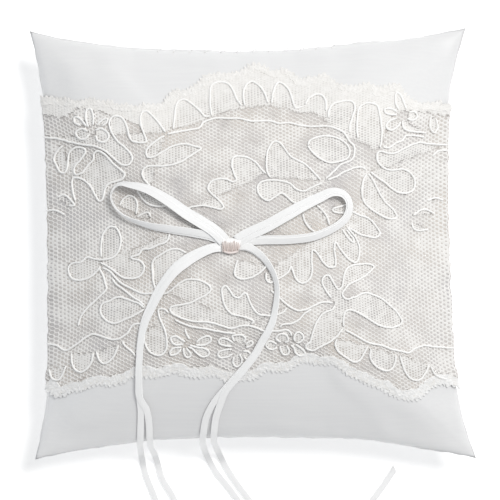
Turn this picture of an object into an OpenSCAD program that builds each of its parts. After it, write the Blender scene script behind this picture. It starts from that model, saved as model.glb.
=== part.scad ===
// Ring bearer pillow: a stuffed satin square with a corded lace band across its front
// and a double ribbon bow that ties the rings on. It lies on its back, front face up.
// +X is to the right seen from the front, +Y towards the top edge, +Z out of the front face.
// Units are millimetres.

/* [Pillow] */
// Half of the width across the corners
half_w = 104.5; // [90:0.5:120]
// Half of the height across the corners
half_d = 101; // [90:0.5:120]
// Height of the side seam above the table
seam_z = 27; // [24:0.5:30]
// Rise of the front panel above the seam, at its middle
crown = 39; // [30:0.5:45]
// Drop of the back panel below the seam before the table flattens it
belly = 33; // [31:0.5:38]
// Thickness of the satin
satin_t = 0.4; // [0.3:0.05:0.8]
// Width of the seam allowance that is turned inside
allowance = 8; // [5:0.5:11]

/* [Lace] */
// Thickness of the net ground
net_t = 0.3; // [0.2:0.05:0.6]
// Diameter of the cord that draws the leaves and flowers
gimp_d = 1.0; // [0.7:0.1:1.4]
// Diameter of the finished edges of the lace band
edge_d = 1.4; // [1:0.1:2]

/* [Ribbon] */
// Width of one ribbon
ribbon_w = 3.1; // [3:0.1:4]
// Thickness of one ribbon
ribbon_t = 0.5; // [0.5:0.1:1]
// Height of the bow's knot
knot_h = 3.6; // [3:0.1:4.5]

/* [Thread] */
// Diameter of the sewing thread
thread_d = 0.5; // [0.4:0.05:0.7]
// Number of hand stitches that close the stuffing gap
closing_count = 12; // [6:1:18]

/* [Hidden] */

satin = [0.93, 0.93, 0.92];
lace_white = [0.90, 0.88, 0.85];
ribbon_white = [0.96, 0.96, 0.95];

// The pillow's flat pattern runs from -cloth to cloth both ways, measured along the cloth
cloth = 105;
cells = 18;                // squares along each side of a panel's grid
corners = [[-0.975, -1], [1.002, -0.995], [-1.002, 0.99], [0.953, 1]];
side_pull = [9.5, 1.5];    // how far the left and right sides curve in, and how they differ
end_pull = [9.85, -0.35];  // the same for the bottom and top sides
swell = [2.2, 0.6];        // exponents of the stuffed profile

// ---------- shape of the stuffed pillow ----------

// Fraction of the full height at t, which runs from -1 at one seam to 1 at the other
function profile(t) = pow(max(0, 1 - pow(abs(t), swell[0])), swell[1]);

function corner_blend(u, v, axis) = ((1 - u) * (1 - v) * corners[0][axis]
    + (1 + u) * (1 - v) * corners[1][axis] + (1 - u) * (1 + v) * corners[2][axis]
    + (1 + u) * (1 + v) * corners[3][axis]) / 4;

// Plan position of the cloth point u, v: straight sides drawn in between pointed corners
function plan(u, v) = [
    half_w * corner_blend(u, v, 0)
        - u * (side_pull[0] + side_pull[1] * u) * (1 - pow(abs(v), 3.2)),
    half_d * corner_blend(u, v, 1)
        - v * (end_pull[0] + end_pull[1] * v) * (1 - pow(abs(u), 2.3)) * (1 - 0.12 * u * (1 + v))];

function front_z(u, v) = seam_z + crown * profile(u) * profile(v);
function back_z(u, v) = max(0, seam_z - belly * profile(u) * profile(v));
function unit(a) = a / max(norm(a), 1e-6);
function on_front(u, v) = [plan(u, v)[0], plan(u, v)[1], front_z(u, v)];

// Outward direction of the front panel
function front_normal(u, v, e = 0.01) = unit(cross(
    on_front(min(u + e, 1), v) - on_front(max(u - e, -1), v),
    on_front(u, min(v + e, 1)) - on_front(u, max(v - e, -1))));

// A place p, q on the cloth of the front panel, lifted off it
function face_point(p, q, lift) =
    let(u = max(-1, min(1, p / cloth)), v = max(-1, min(1, q / cloth)),
        n = front_normal(max(-0.985, min(0.985, u)), max(-0.985, min(0.985, v))))
    on_front(u, v) + lift * n;

// ---------- closed bodies from grids ----------

// Step number k around the border of a grid of m by n squares, anticlockwise from above
function border(k, m, n) = k < m ? [k, 0] : k < m + n ? [m, k - m]
    : k < 2 * m + n ? [2 * m + n - k, n] : [0, 2 * (m + n) - k];

function grid_points(m, n, f) = [for (j = [0:n]) for (i = [0:m]) f(2 * i / m - 1, 2 * j / n - 1)];

// Each square is cut along the diagonal that runs towards the nearest corner of the grid
function grid_faces(m, n, at, up) = [for (j = [0:n - 1]) for (i = [0:m - 1])
    let(a = at + j * (m + 1) + i, b = a + 1, c = b + m + 1, d = a + m + 1,
        cut = (2 * i < m) == (2 * j < n) ? [[a, d, c], [a, c, b]] : [[a, d, b], [b, d, c]])
    each up ? cut : [for (t = cut) [t[2], t[1], t[0]]]];

function wall_faces(upper, lower) = let(n = len(upper)) [for (k = [0:n - 1])
    let(a = upper[k], b = upper[(k + 1) % n], c = lower[(k + 1) % n], d = lower[k])
    each [[a, b, c], [a, c, d]]];

// A solid between an upper and a lower grid, whose rims are joined through extra loops of points
module grid_solid(m, n, top, bottom, loops = []) {
    size = (m + 1) * (n + 1);
    count = 2 * (m + n);
    rim = [for (k = [0:count - 1]) let(s = border(k, m, n)) s[1] * (m + 1) + s[0]];
    rings = concat([rim],
        [for (r = [0:1:len(loops) - 1]) [for (k = [0:count - 1]) 2 * size + r * count + k]],
        [[for (k = rim) k + size]]);
    polyhedron(
        points = concat(top, bottom, [for (l = loops) each l]),
        faces = concat(grid_faces(m, n, 0, true), grid_faces(m, n, size, false),
            [for (r = [0:len(rings) - 2]) each wall_faces(rings[r], rings[r + 1])]));
}

function rim_loop(shrink, z) = [for (k = [0:4 * cells - 1])
    let(s = border(k, cells, cells), uv = (2 * s / cells - [1, 1]), xy = plan(uv[0], uv[1]) * shrink)
    [xy[0], xy[1], z]];

fold_t = 0.15;             // half thickness of the panels where they fold in at the edge
inner_scale = 1 - satin_t / half_d;
inset_scale = 1 - allowance / half_d;
allowance_front = rim_loop(inset_scale, seam_z + satin_t);
allowance_back = rim_loop(inset_scale, seam_z - satin_t);
allowance_middle = rim_loop(inset_scale, seam_z);

front_outer = grid_points(cells, cells, function(u, v) on_front(u, v));
front_inner = grid_points(cells, cells, function(u, v)
    let(xy = plan(u, v) * inner_scale, rise = crown - satin_t - fold_t)
    [xy[0], xy[1], seam_z + fold_t + rise * profile(u) * profile(v)]);
back_outer = grid_points(cells, cells, function(u, v)
    let(xy = plan(u, v)) [xy[0], xy[1], back_z(u, v)]);
back_inner = grid_points(cells, cells, function(u, v)
    let(xy = plan(u, v) * inner_scale, drop = belly - satin_t - fold_t)
    [xy[0], xy[1], max(satin_t, seam_z - fold_t - drop * profile(u) * profile(v))]);

// ---------- strips, tubes and cords ----------

// Joins closed rings of points into one tube with flat ends
function tube_faces(rings, sides, at = 0) = concat(
    [for (i = [0:rings - 2]) for (k = [0:sides - 1])
        let(a = at + i * sides + k, b = at + i * sides + (k + 1) % sides, c = b + sides, d = a + sides)
        each [[a, b, c], [a, c, d]]],
    [for (k = [1:sides - 2]) [at, at + k + 1, at + k]],
    [for (k = [1:sides - 2]) let(e = at + (rings - 1) * sides) [e, e + k, e + k + 1]]);

function direction(path, i) = unit(path[min(i + 1, len(path) - 1)] - path[max(i - 1, 0)]);

// One ring of a strip: w wide, t thick, turned by roll degrees from lying flat
function strip_ring(path, i, w, t, roll, sides) =
    let(d = direction(path, i), level = unit(cross([0, 0, 1], d)), up = cross(d, level),
        wide = level * cos(roll) + up * sin(roll), thin = cross(d, wide))
    [for (k = [0:sides - 1]) let(a = 360 * (k + 0.5) / sides)
        path[i] + wide * (w / 2 * cos(a)) + thin * (t / 2 * sin(a))];

module strip(path, rolls, w, t, sides = 8) {
    polyhedron(
        points = [for (i = [0:len(path) - 1]) each strip_ring(path, i, w, t, rolls[i], sides)],
        faces = tube_faces(len(path), sides));
}

// Several cords laid on the front panel: each is a list of places on the cloth
module laid_cords(lines, d, lift, sides = 6) {
    starts = [for (i = 0, at = 0; i < len(lines); at = at + len(lines[i]) * sides, i = i + 1) at];
    polyhedron(
        points = [for (line = lines) let(path = [for (s = line) face_point(s[0], s[1], lift)])
            for (i = [0:len(path) - 1]) each strip_ring(path, i, d, d, 0, sides)],
        faces = [for (i = [0:len(lines) - 1]) each tube_faces(len(lines[i]), sides, starts[i])]);
}

// ---------- lace pattern, as places p, q on the cloth ----------

net_top = [[-105, 72], [-98, 73], [-88, 72], [-79, 74], [-70, 72.5], [-60, 71.5], [-52, 72],
    [-45, 74], [-40, 78], [-36, 82], [-30, 83], [-24, 86.5], [-20, 90.5], [-15, 91.5], [-9, 91.5],
    [-3, 93.5], [3, 96], [8, 95], [12, 93], [18, 93.5], [22, 91.5], [26, 87.5], [31, 88.5],
    [37, 88.5], [42, 85.5], [48, 82.5], [54, 80.5], [60, 81], [66, 78], [71, 79], [76, 79.3],
    [80, 73], [85, 70.5], [90, 69.5], [97, 68.5], [105, 68]];
net_bottom = [[-105, -69], [-102, -72], [-99, -75], [-95, -74], [-91, -72.5], [-88, -73.5],
    [-83, -72], [-78, -70.5], [-70, -71], [-65, -70], [-61, -68], [-57, -67], [-53, -68],
    [-49, -69], [-43, -68], [-38, -67.5], [-35, -70], [-28, -71], [-20, -70], [-16, -72.5],
    [-11, -73.5], [-6, -73], [-1, -72.5], [3, -69.5], [6, -67.5], [12, -68.7], [18, -67],
    [23, -63.5], [28, -63], [33, -64], [38, -62], [42, -63.5], [46, -67], [52, -69.5], [58, -72],
    [64, -73.8], [70, -77], [75, -78.7], [80, -78], [86, -75], [91, -71.5], [97, -69], [105, -71]];

arches_top = [
    [[-38, 60], [-37, 68], [-35.5, 75], [-32, 77.5], [-28, 75], [-24, 71], [-22, 68.5], [-19.5, 68.5]],
    [[-18.5, 69], [-19, 78], [-18, 85], [-14, 87], [-10, 86], [-7.5, 82.5], [-6, 78], [-3.5, 74]],
    [[-2, 74], [-2.5, 80], [-1, 85], [2, 87], [5.5, 84.5], [8, 80.5], [9.5, 75.5]],
    [[11.5, 75], [12.5, 82], [15, 86], [18, 84.5], [20.5, 81], [22, 76], [23.5, 72], [27, 72.5]],
    [[28.5, 73.5], [30.5, 77], [34, 78.5], [37, 77.5], [39, 74], [39, 69]],
    [[40.2, 65], [40.5, 69], [43, 72], [48, 73], [52, 72.3], [53.5, 69], [52.5, 65], [51, 60], [51, 56]],
    [[55, 53], [54.5, 60], [55.5, 68], [58, 70.3], [61, 70.8], [64.5, 69.5], [66, 66], [67, 60],
        [67.5, 54], [66.5, 48]]];

arches_bottom = [
    [[-102, -61], [-101, -65], [-99, -66.5], [-97, -65.5], [-94.5, -60]],
    [[-92, -54], [-91.5, -58], [-90, -61.5], [-87, -63.3], [-84, -62], [-81.5, -59], [-80.5, -54.5]],
    [[-79, -53.5], [-77.5, -57.5], [-75, -60], [-72, -59], [-69.5, -56], [-67.5, -51]],
    [[-65.5, -49], [-64, -51.5], [-60.5, -54.5], [-58.5, -57]],
    [[42, -48.5], [41, -51.5], [42.5, -55], [46, -57.8], [50, -60], [53, -59], [55, -56], [57.5, -52]],
    [[59, -53], [58.5, -57], [60, -60.5], [63, -63], [66.5, -64], [69.5, -62.5], [71.3, -59], [71.8, -55.5]],
    [[74, -56], [75, -60], [76.3, -64], [78.5, -67], [81.5, -68], [84.5, -67], [87, -64], [89.5, -59.5]],
    [[90.5, -60.5], [92, -64], [95, -66], [98.5, -67]]];

stems = [
    [[-41, 57], [-36, 58.5], [-30, 60.5], [-25, 62], [-22.5, 65], [-17, 67.3], [-10, 67.3], [-4, 67],
        [1, 65.6], [10, 65.5], [15, 64], [20, 64.2], [26, 62.5], [32, 61.3], [39, 60.5], [44, 58.5],
        [48, 56], [50.5, 52], [53, 49], [53, 45], [51, 42], [46, 40], [42, 36.5], [38, 33]],
    [[39, 32.5], [44, 34.3], [48, 36.5], [53, 38.3], [57, 38.5], [59, 37]],
    [[-77, -11.5], [-73, -13.5], [-70, -17], [-66.5, -20], [-62, -22.3], [-57.5, -24.5], [-53, -25.2],
        [-49, -24.5]],
    [[-72, -17], [-70, -19.8], [-66, -22.8], [-61, -26.7], [-57, -28.9], [-54.5, -31]],
    [[-78.5, -12], [-76.8, -15], [-75.5, -19.5], [-75, -22.5], [-78, -25.5], [-82, -29], [-86, -32.3],
        [-88.5, -36], [-89.8, -40]],
    [[-104, -48], [-100, -49.3], [-95.5, -52.2], [-91, -50], [-86.5, -47.2], [-82, -45], [-77, -46],
        [-70.5, -48], [-66, -47.2], [-63, -45], [-60.5, -41.5], [-58.5, -40.3], [-55.5, -40.5]],
    [[-39, -38.5], [-36, -40], [-31, -42], [-25, -43.2], [-19, -44.7], [-13, -46.3], [-9, -46.5]],
    [[9, -23.5], [12.5, -26.5], [15.5, -29.5], [19, -32.3], [23, -34], [27, -33.2], [31, -31.2],
        [35, -29.7], [40, -30]],
    [[13.5, -43], [14, -41.7], [16, -41], [20, -40.3], [23.5, -38], [26, -35.3], [29.5, -33.3]],
    [[46.5, -44], [50, -45.7], [54.5, -48.3], [58.5, -50.2], [64, -51], [70, -52.9], [75, -53.7],
        [79, -54.2], [83, -52], [88, -50.5], [94, -50.8], [103, -51]],
    [[68, 48.3], [71.5, 48], [75, 50.2], [78.5, 51.5], [80.5, 53.5], [86, 53.3], [91, 52.5]]];

leaves_left = [
    [[-104, 53], [-98, 52.5], [-92, 51.3], [-86, 50.7], [-80, 50.5], [-76, 49.5], [-72, 47.5],
        [-68, 44], [-64.5, 41.2], [-61, 41], [-59, 43], [-59.2, 46], [-62, 49.5], [-66, 53], [-69, 58],
        [-69.5, 63], [-66.5, 65.5], [-63, 64.5], [-61, 60.5], [-60, 55.5], [-58, 52.8], [-54, 52.3],
        [-51.5, 52.8], [-52.5, 57], [-54, 62], [-53.5, 67.5], [-51, 69], [-48, 66.5], [-44.5, 62],
        [-42, 58]],
    [[-42.5, 56], [-46, 53.8], [-49.3, 51], [-51.5, 48], [-51, 45], [-48, 45], [-43, 48], [-38.5, 50.5],
        [-33, 52], [-28, 51], [-24.5, 49.8], [-28, 47], [-32, 44], [-35.5, 42], [-41, 40.5],
        [-47, 40.3], [-51.5, 40], [-54, 37], [-53, 33.5], [-50, 30]],
    [[-96, 49], [-98.5, 46.5], [-100, 42.5], [-98.5, 37.5], [-96.5, 35.5], [-94.5, 37], [-93.5, 42],
        [-92.5, 46], [-89, 48.5], [-84.5, 48.7], [-83.8, 46.5], [-87, 42.5], [-90.5, 38.5], [-90, 35],
        [-86.5, 36], [-83, 40], [-80, 43], [-79, 46.2], [-76, 47.7], [-72.5, 45.8], [-68.5, 41.3],
        [-64.5, 38], [-63, 36.2], [-65, 33.7], [-68.5, 32.2], [-72, 31.2], [-74.5, 28.5], [-76, 23.5],
        [-78, 22], [-80, 25], [-82.5, 29.5], [-86, 32.5], [-90, 33.5], [-92, 31.5], [-91.5, 26],
        [-90.5, 22]],
    [[-99, 23.5], [-96, 24.8], [-93, 22.5], [-91, 19.8], [-94, 19.5]],
    [[-104, 17], [-100, 17], [-96, 15]],
    [[-67.5, 20], [-65.5, 23], [-62, 25], [-59, 23.5], [-58, 20], [-59, 15.5]],
    [[-58.5, 14], [-55, 15.7], [-52, 16.5], [-50.5, 14]],
    [[-57.5, 28.5], [-55.5, 24.5], [-52.5, 21.5], [-48, 19.8], [-42, 19.8]]];

leaves_centre = [
    [[8, 36], [5.5, 38.5], [3, 42], [-1, 44.8], [-5, 45.8], [-8, 45], [-9, 40.5], [-8, 36],
        [-7, 33], [-9, 32], [-12, 33.3], [-16, 33.6], [-19.5, 32], [-21.3, 29], [-19.5, 26],
        [-16, 22.8], [-13.7, 19.5], [-15.3, 18], [-19, 19], [-24, 20], [-30, 19], [-32, 17.5]],
    [[10, 34], [8.5, 38], [8.5, 45], [10, 51], [12.5, 54.3], [15.5, 53], [18, 49], [20.5, 45],
        [24, 42.8], [28, 40.5], [32, 36.5], [35.5, 32.5]],
    [[36.5, 31], [31.5, 29], [27, 27], [23, 28], [20, 30.8], [15, 32.3], [9, 32.5], [5, 31.3], [3.5, 28],
        [5, 24.5], [8.5, 22.3], [12, 24], [15.5, 26], [18.5, 24], [21.5, 21.3], [26, 21.2], [30, 22.5]],
    [[-7, -8], [-8.3, -12], [-8.8, -15.5], [-6.5, -17.5], [-2.5, -17.7], [1.5, -16], [5, -13.5],
        [7.5, -11]],
    [[17, -32.5], [15, -35], [11, -36.2], [6.5, -36.5], [3, -35.8], [0.5, -33.5], [-1.5, -29.5],
        [-3, -25.5], [-4.7, -25.2], [-6.8, -27.3], [-9.5, -26.5], [-11.5, -23.5], [-13.5, -21.2],
        [-15.3, -23], [-15, -28], [-13.5, -32.5], [-10.5, -35.8], [-6, -37], [-2.5, -38],
        [0.3, -39.7], [-1, -41]]];

leaves_right = [
    [[29.5, 50.5], [31, 53.5], [36, 55], [41, 54.7], [46, 52.8], [49.6, 49.8], [50.9, 46.5], [49.5, 43.3],
        [45.5, 41.7], [41, 41], [36, 43], [32, 46.5], [29.5, 50.2]],
    [[61.5, 36], [65, 33.7], [70, 30.8], [74, 27.7], [78, 25.5], [83, 25], [86.5, 27], [87, 31],
        [84.5, 34.8], [80, 37], [74, 36.8], [69, 38], [65.5, 41], [65, 45], [67, 46.2], [72, 45],
        [77, 46], [82, 48.5], [88, 50], [94, 49], [103, 48]],
    [[59.8, 35], [57.5, 31.5], [57, 26], [58.5, 21.5], [62, 18], [66, 15.5], [71, 13], [75.5, 12.3],
        [77, 13.5], [75, 17], [71, 20.5], [68, 24.5], [65, 29.5], [62, 33.5], [60.3, 35]],
    [[51, 16.5], [56, 14.5], [61, 13], [64.5, 10], [67.5, 5.3], [65, 3.2], [61, 3.7], [56, 5],
        [51.5, 7.3], [49, 8], [51, 6], [54, 3], [55.8, -1], [55.8, -6], [54, -9.3], [50.5, -8.5],
        [47, -5.5], [44, -1.5], [42, 1], [41.5, -3], [42, -8], [41.5, -11.5], [38.5, -11.8], [35.5, -9],
        [33, -5], [30.5, -3.2], [30, -8], [30, -14], [28.5, -18], [25, -20], [22, -18], [20.5, -14],
        [19.5, -11.5], [18, -14.5], [15, -16.7], [11.5, -18.5], [9, -19.8], [7, -18], [7, -14.5]],
    [[46, 7.3], [48, 4.3], [50.5, 1.8], [52.5, 0.8], [52.3, 2.8], [50.5, 4.5], [48, 7.3]],
    [[49, 20], [45, 19], [41.5, 18], [41.5, 16.5], [44.5, 15.7], [49, 16]],
    [[33, 20], [36, 17], [38.3, 13.5], [39.3, 9.5]],
    [[26, 15.5], [27, 11.5], [29, 8.3], [32, 6]],
    [[86, 14], [89, 16], [92, 16.8], [95, 16], [97.5, 14.5]],
    [[85, 10.5], [86, 7.5], [89, 6.5], [94, 7]],
    [[94, 21], [97.5, 22.5], [101, 21.3]],
    [[96, 43], [99, 45], [103, 45.5]],
    [[93.5, 62], [94, 57.5], [96.5, 54.5], [98.5, 56.5], [97, 61]]];

leaves_lower_left = [
    [[-77.5, -6], [-77.5, -1], [-76.5, 5], [-74, 8.5], [-71.5, 9.3], [-69, 8], [-67.3, 4], [-67.3, 0],
        [-69, -4], [-72, -6.5], [-77, -7.4], [-81, -7], [-84.5, -6.3], [-88, -8.5], [-92, -9],
        [-94.3, -11], [-93.8, -15], [-91, -17.3], [-86.5, -17.2], [-82.5, -15.5], [-79.5, -12.8],
        [-78, -10.8]],
    [[-78, -8.8], [-74, -11], [-70, -14], [-66.5, -16.5], [-62, -17.2], [-58, -16.3], [-55.5, -13.5],
        [-55.3, -10.5], [-57.5, -8], [-61.5, -7], [-61.8, -6], [-58, -5], [-55.5, -2.5], [-51, -1.8],
        [-46, 0], [-42, 2], [-40.5, 5.5]],
    [[-54.5, -32.3], [-57, -30.2], [-61, -28.9], [-65, -27.3], [-69, -26.5], [-73, -28], [-77, -29.5],
        [-78.3, -32.5], [-77, -36], [-73.5, -39], [-69.5, -39.7], [-65, -38.2], [-60, -36.3],
        [-56.5, -34.5], [-54.7, -33]],
    [[-48.5, -23], [-50.3, -18], [-50.5, -11.5], [-49.5, -8], [-45, -4.8], [-40, -2.5], [-36, -2.5],
        [-32.5, -4.3]],
    [[-46.5, -23.5], [-44.3, -25.3], [-41.5, -24], [-38, -21], [-34.5, -18.7], [-31, -17.8],
        [-26.5, -18.4], [-22.5, -20.3], [-20.7, -23], [-22.5, -25.5], [-27, -28], [-31.5, -30],
        [-37, -31.2], [-41, -32.5], [-40.3, -35.2], [-36.5, -37.3], [-32, -39], [-26, -39.7],
        [-21, -40.2], [-16, -42], [-11, -43.7], [-7, -42.2], [-3, -41.9], [1, -43], [5, -44.7],
        [9, -44.8], [12.5, -44.8], [16, -44], [18.3, -45], [19.3, -47.5]],
    [[-42, -35], [-44, -33.3], [-47, -33.5], [-46.5, -37.5], [-44.5, -42.5], [-43.3, -47.5],
        [-43.2, -52.5], [-44.5, -55.5], [-47.5, -56.8], [-51.5, -55], [-53.8, -51], [-54.5, -46]]];

leaves_lower_right = [
    [[39.5, -27.5], [37, -24], [35, -19.5], [36, -16.7], [38.5, -16.2], [40.5, -19.5], [43, -23.2],
        [45, -22], [46, -18], [47.5, -13.5], [50.5, -11.2], [55, -10.5], [60, -10], [63.8, -11.5],
        [61.5, -14], [57.5, -16.7], [53.5, -18.8], [49.5, -20.3], [46.5, -23], [45.2, -25.5],
        [46.8, -28], [51, -27.3], [56.5, -25], [62, -25.7], [67, -27.5], [71, -30.5], [75, -34],
        [77.5, -38.5], [75, -41], [70, -42], [64.5, -41.3], [60, -39], [55, -36], [50, -33.7],
        [46.7, -34.3], [45.5, -38], [45.5, -42]],
    [[41.5, -31.5], [39.5, -33.5], [35.5, -35.2], [33, -38], [31, -41.7], [29.7, -45.5], [28.5, -50],
        [26.3, -52.3], [26.5, -54.5], [29.5, -55], [34, -52.3], [39, -49.5], [42.5, -46.3],
        [45, -43.3]]];

flowers = [
    [[-80.5, 59.5], [-81.5, 64], [-80.5, 68], [-78.5, 68.5], [-77.5, 65], [-77.8, 60.5]],
    [[-81.5, 60], [-84.5, 63.5], [-87, 64], [-87.5, 61.5], [-84.5, 60]],
    [[-77, 58], [-74, 59], [-70.7, 57], [-70.5, 54.3], [-73, 52.3], [-76, 53], [-77, 55.5]],
    [[-76, 60.5], [-73, 63.3], [-70.5, 64], [-71, 62], [-73.5, 60.3]],
    [[-81, 57.5], [-84, 58.5], [-87.5, 56.5], [-86, 53.8], [-83, 53.5], [-80.5, 55.5]],
    [[76, 66.5], [74.3, 70], [74.3, 75], [76.5, 74], [78.5, 70], [80, 66.5]],
    [[75, 65.5], [72, 67.3], [69, 67.3], [69, 65.5], [72, 64.3], [75, 64.3]],
    [[75, 62.5], [71, 61], [69.8, 58], [72.5, 56.5], [76, 58.5], [77, 60.5]],
    [[81.5, 65], [84.5, 65], [86, 62.5], [83, 61], [80.5, 62]],
    [[78, 61], [78.7, 57.5], [81.5, 55.9], [86, 55.2], [92, 54.7]],
    [[-34, -50.3], [-37, -48], [-39, -47], [-41.2, -48], [-40.3, -50.5], [-38.5, -51.6], [-35, -51.4]],
    [[-36, -53], [-39.5, -53.2], [-41.7, -55], [-41.2, -57], [-38.7, -56.8], [-36, -54.3]],
    [[-35, -53.5], [-34.7, -57], [-33.5, -59.2], [-31.8, -59.3], [-31.4, -57.5], [-33.5, -53.8]],
    [[-32.7, -53], [-30.5, -54.5], [-28.8, -57], [-26, -59.5], [-23.3, -59.3], [-22.2, -57.3],
        [-24.5, -55], [-28, -53.8], [-32, -52]],
    [[-29, -52.2], [-25, -52.7], [-22, -51.3], [-21.3, -49], [-23, -47.5], [-26, -48.5], [-28.5, -50.8]],
    [[-34, -43.5], [-33.3, -46], [-31.8, -49]],
    [[-10.3, -52.3], [-12, -51], [-14, -49.8], [-16, -49.6], [-17.5, -51], [-16.5, -53], [-13.5, -54],
        [-11, -54.3]],
    [[-11, -56], [-14, -56], [-17.3, -57.3], [-18, -59], [-16.5, -60.5], [-13.5, -60.3], [-10.8, -58.5]],
    [[-10.2, -60], [-10.5, -63.5], [-9, -65.5], [-7, -64.5], [-6.2, -61.5], [-7.3, -58.5]],
    [[-9.7, -51.5], [-10.5, -48.5], [-7.8, -47.7], [-5.5, -48], [-4, -50], [-5, -52.3]],
    [[-4, -53.6], [-2.6, -52], [-1, -51.3], [-0.5, -52.7], [-1.8, -54], [-4, -55]],
    [[-5.5, -57], [-3, -57.3], [-1.8, -59], [-3.7, -61.5], [-5, -60]],
    [[11.5, -53], [9, -51.3], [7, -51.6], [6, -53.3], [7, -55.3], [9.3, -56], [11.5, -54.5]],
    [[13, -54], [13.5, -56.5], [14.5, -58.6], [16.5, -58.6], [17.5, -56.5], [16.5, -53.5]],
    [[18.5, -53], [20, -54.5], [20.7, -57.5], [23, -59], [25.5, -57.5], [24, -54.8], [21, -52.3]],
    [[20.5, -50.3], [20.3, -47.5], [22, -45.3], [24.3, -46], [25, -48.5], [23.3, -50.7], [21.5, -51.3]],
    [[13.7, -51.5], [11.3, -49.5], [12.3, -47], [14.5, -46.3], [16.8, -47.3], [17.3, -50], [15.5, -51.5]]];

// ---------- ribbon routes ----------
// On the pillow a place is p, q on the cloth, its lift off the cloth, and its roll in degrees.
// Past the lower edge it is x, y, z in the pillow's own frame.

knot_at = [-10.5, 0.2];

loop_left = [[-13.4, 1.4, 2.1, 0], [-16, 4.6, 2.2, 3], [-20, 8.2, 2.4, 6], [-25, 11.5, 2.7, 9],
    [-32.3, 16.2, 3.1, 14], [-40.5, 22.3, 3.5, 20], [-50.7, 28.2, 3.8, 28], [-60.8, 31.2, 3.8, 48],
    [-65.6, 30.6, 3.7, 66], [-69, 27.8, 3.6, 82], [-70.2, 23.8, 3.4, 88], [-68.6, 19.2, 3.3, 84],
    [-65, 15.3, 3.2, 74], [-59, 12.2, 3, 58], [-50.5, 9.8, 2.7, 42], [-40.7, 8, 2.4, 28],
    [-30, 6.2, 2, 18], [-20, 4, 1.6, 6], [-13.4, 0.8, 1.4, 0]];
loop_right = [[-7.4, 1.4, 2.1, 0], [-2.7, 4.4, 2.3, -3], [2, 6.6, 2.5, -6], [8, 9.3, 2.8, -8],
    [16.8, 14.2, 3.2, -10], [26.8, 19.7, 3.5, -14], [34, 23, 3.8, -20], [40, 25.6, 3.9, -30],
    [45.3, 25, 3.9, -40], [48.3, 21.5, 3.8, -42], [48.5, 16.8, 3.6, -38], [46.2, 12.3, 3.4, -34],
    [41, 8.2, 3.1, -32], [34, 4.9, 2.8, -30], [27.7, 3.2, 2.6, -28], [18, 2.3, 2.4, -25],
    [8, 2.2, 1.9, -18], [0, 1.8, 1.5, -8], [-7.4, 0.8, 1.4, 0]];

tail_left_on_cloth = [[-13.4, -1.4, 1, 0], [-20, -1.5, 1.8, 0], [-29.3, -5.2, 1.9, 0],
    [-36.8, -10.2, 1.9, 8], [-42.8, -16.7, 1.9, 14], [-47.5, -24, 1.9, 14], [-51, -31.5, 1.9, 10],
    [-54, -39, 1.9, 6], [-55.8, -48.5, 1.9, 0], [-56.7, -59.2, 1.9, 0], [-56.9, -69, 1.8, 0],
    [-56.7, -78, 1.2, 0], [-55.9, -87, 0.8, 0], [-55.4, -95, 0.7, 0], [-55.2, -101.5, 0.9, 0]];
tail_right_on_cloth = [[-7.4, -1.4, 1, 0], [-2.2, -1.7, 1.8, 4], [2.5, -4.3, 2, 20],
    [7.4, -9.5, 2.2, 38], [10.8, -16, 2.4, 50], [12.1, -22.5, 2.4, 50], [11.5, -30, 2.3, 42],
    [9.8, -38.5, 2.1, 25], [7.5, -44.1, 1.9, 12], [4.9, -49, 1.9, 4], [-0.3, -59.2, 1.9, 0],
    [-8, -69.1, 1.8, 0], [-15.5, -78.4, 1.2, 0], [-20.3, -85.3, 0.8, 0], [-23.6, -92.8, 0.7, 0],
    [-25.1, -101.5, 0.9, 0]];

table_1_left = [[-53, -94.8, 25.5, 0], [-53.3, -96.8, 17, 0], [-53.4, -100.5, 7, 0],
    [-52.8, -106, 0.6, 0], [-51.2, -112.2, 0.6, 0], [-47.5, -121.5, 0.6, 0], [-43.5, -134, 0.6, 0],
    [-43, -146, 0.6, 0], [-48, -157, 0.6, 0], [-57, -165, 0.6, 0], [-68, -169, 0.6, 0]];
table_2_left = [[-48, -94.4, 25.5, 0], [-47.8, -96.6, 17, 0], [-47, -100.4, 7, 0],
    [-45.8, -105.5, 0.6, 0], [-43.3, -113.6, 0.6, 0], [-38.3, -122, 0.6, 0], [-32.5, -136, 0.6, 0],
    [-28.5, -148, 0.6, 0], [-29, -160, 0.6, 0], [-34.5, -171, 0.6, 0], [-43, -179, 0.6, 0]];
table_1_right = [[-23.6, -93.6, 25.5, 0], [-23.5, -95.8, 17, 0], [-22.7, -99.5, 7, 0],
    [-20.8, -104.5, 0.6, 0], [-17, -110.8, 0.6, 0], [-10.3, -119.1, 0.6, 0], [-2, -131, 0.6, 0],
    [6, -144, 0.6, 0], [9, -156, 0.6, 0], [7, -168, 0.6, 0], [0, -178, 0.6, 0]];
table_2_right = [[-18.5, -92.9, 25.5, 0], [-18, -95.2, 17, 0], [-17, -99, 7, 0],
    [-15.2, -103.5, 0.6, 0], [-11.5, -109.8, 0.6, 0], [-4.4, -119.8, 0.6, 0], [6.5, -132.5, 0.6, 0],
    [20, -140.5, 0.6, 0], [33, -141.5, 0.6, 0], [45.5, -136, 0.6, 0], [55, -126.5, 0.6, 0],
    [62.5, -117, 0.6, 0], [68.5, -108, 0.6, 0]];

// Second ribbon of each pair: the same route moved sideways, and apart past where the pair splits
function shifted(route, side, lift, split, split_q) = [for (s = route)
    let(more = s[1] < split_q ? split * (1 - exp((s[1] - split_q) / 10)) : 0)
    [s[0] + side[0] + more, s[1] + side[1], s[2] + lift, s[3]]];

module ribbon(on_cloth, beyond = []) {
    path = concat([for (s = on_cloth) face_point(s[0], s[1], s[2])],
        [for (s = beyond) [s[0], s[1], s[2]]]);
    rolls = [for (s = concat(on_cloth, beyond)) s[3]];
    strip(path, rolls, ribbon_w, ribbon_t);
}

// ---------- sub-parts ----------

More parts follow.
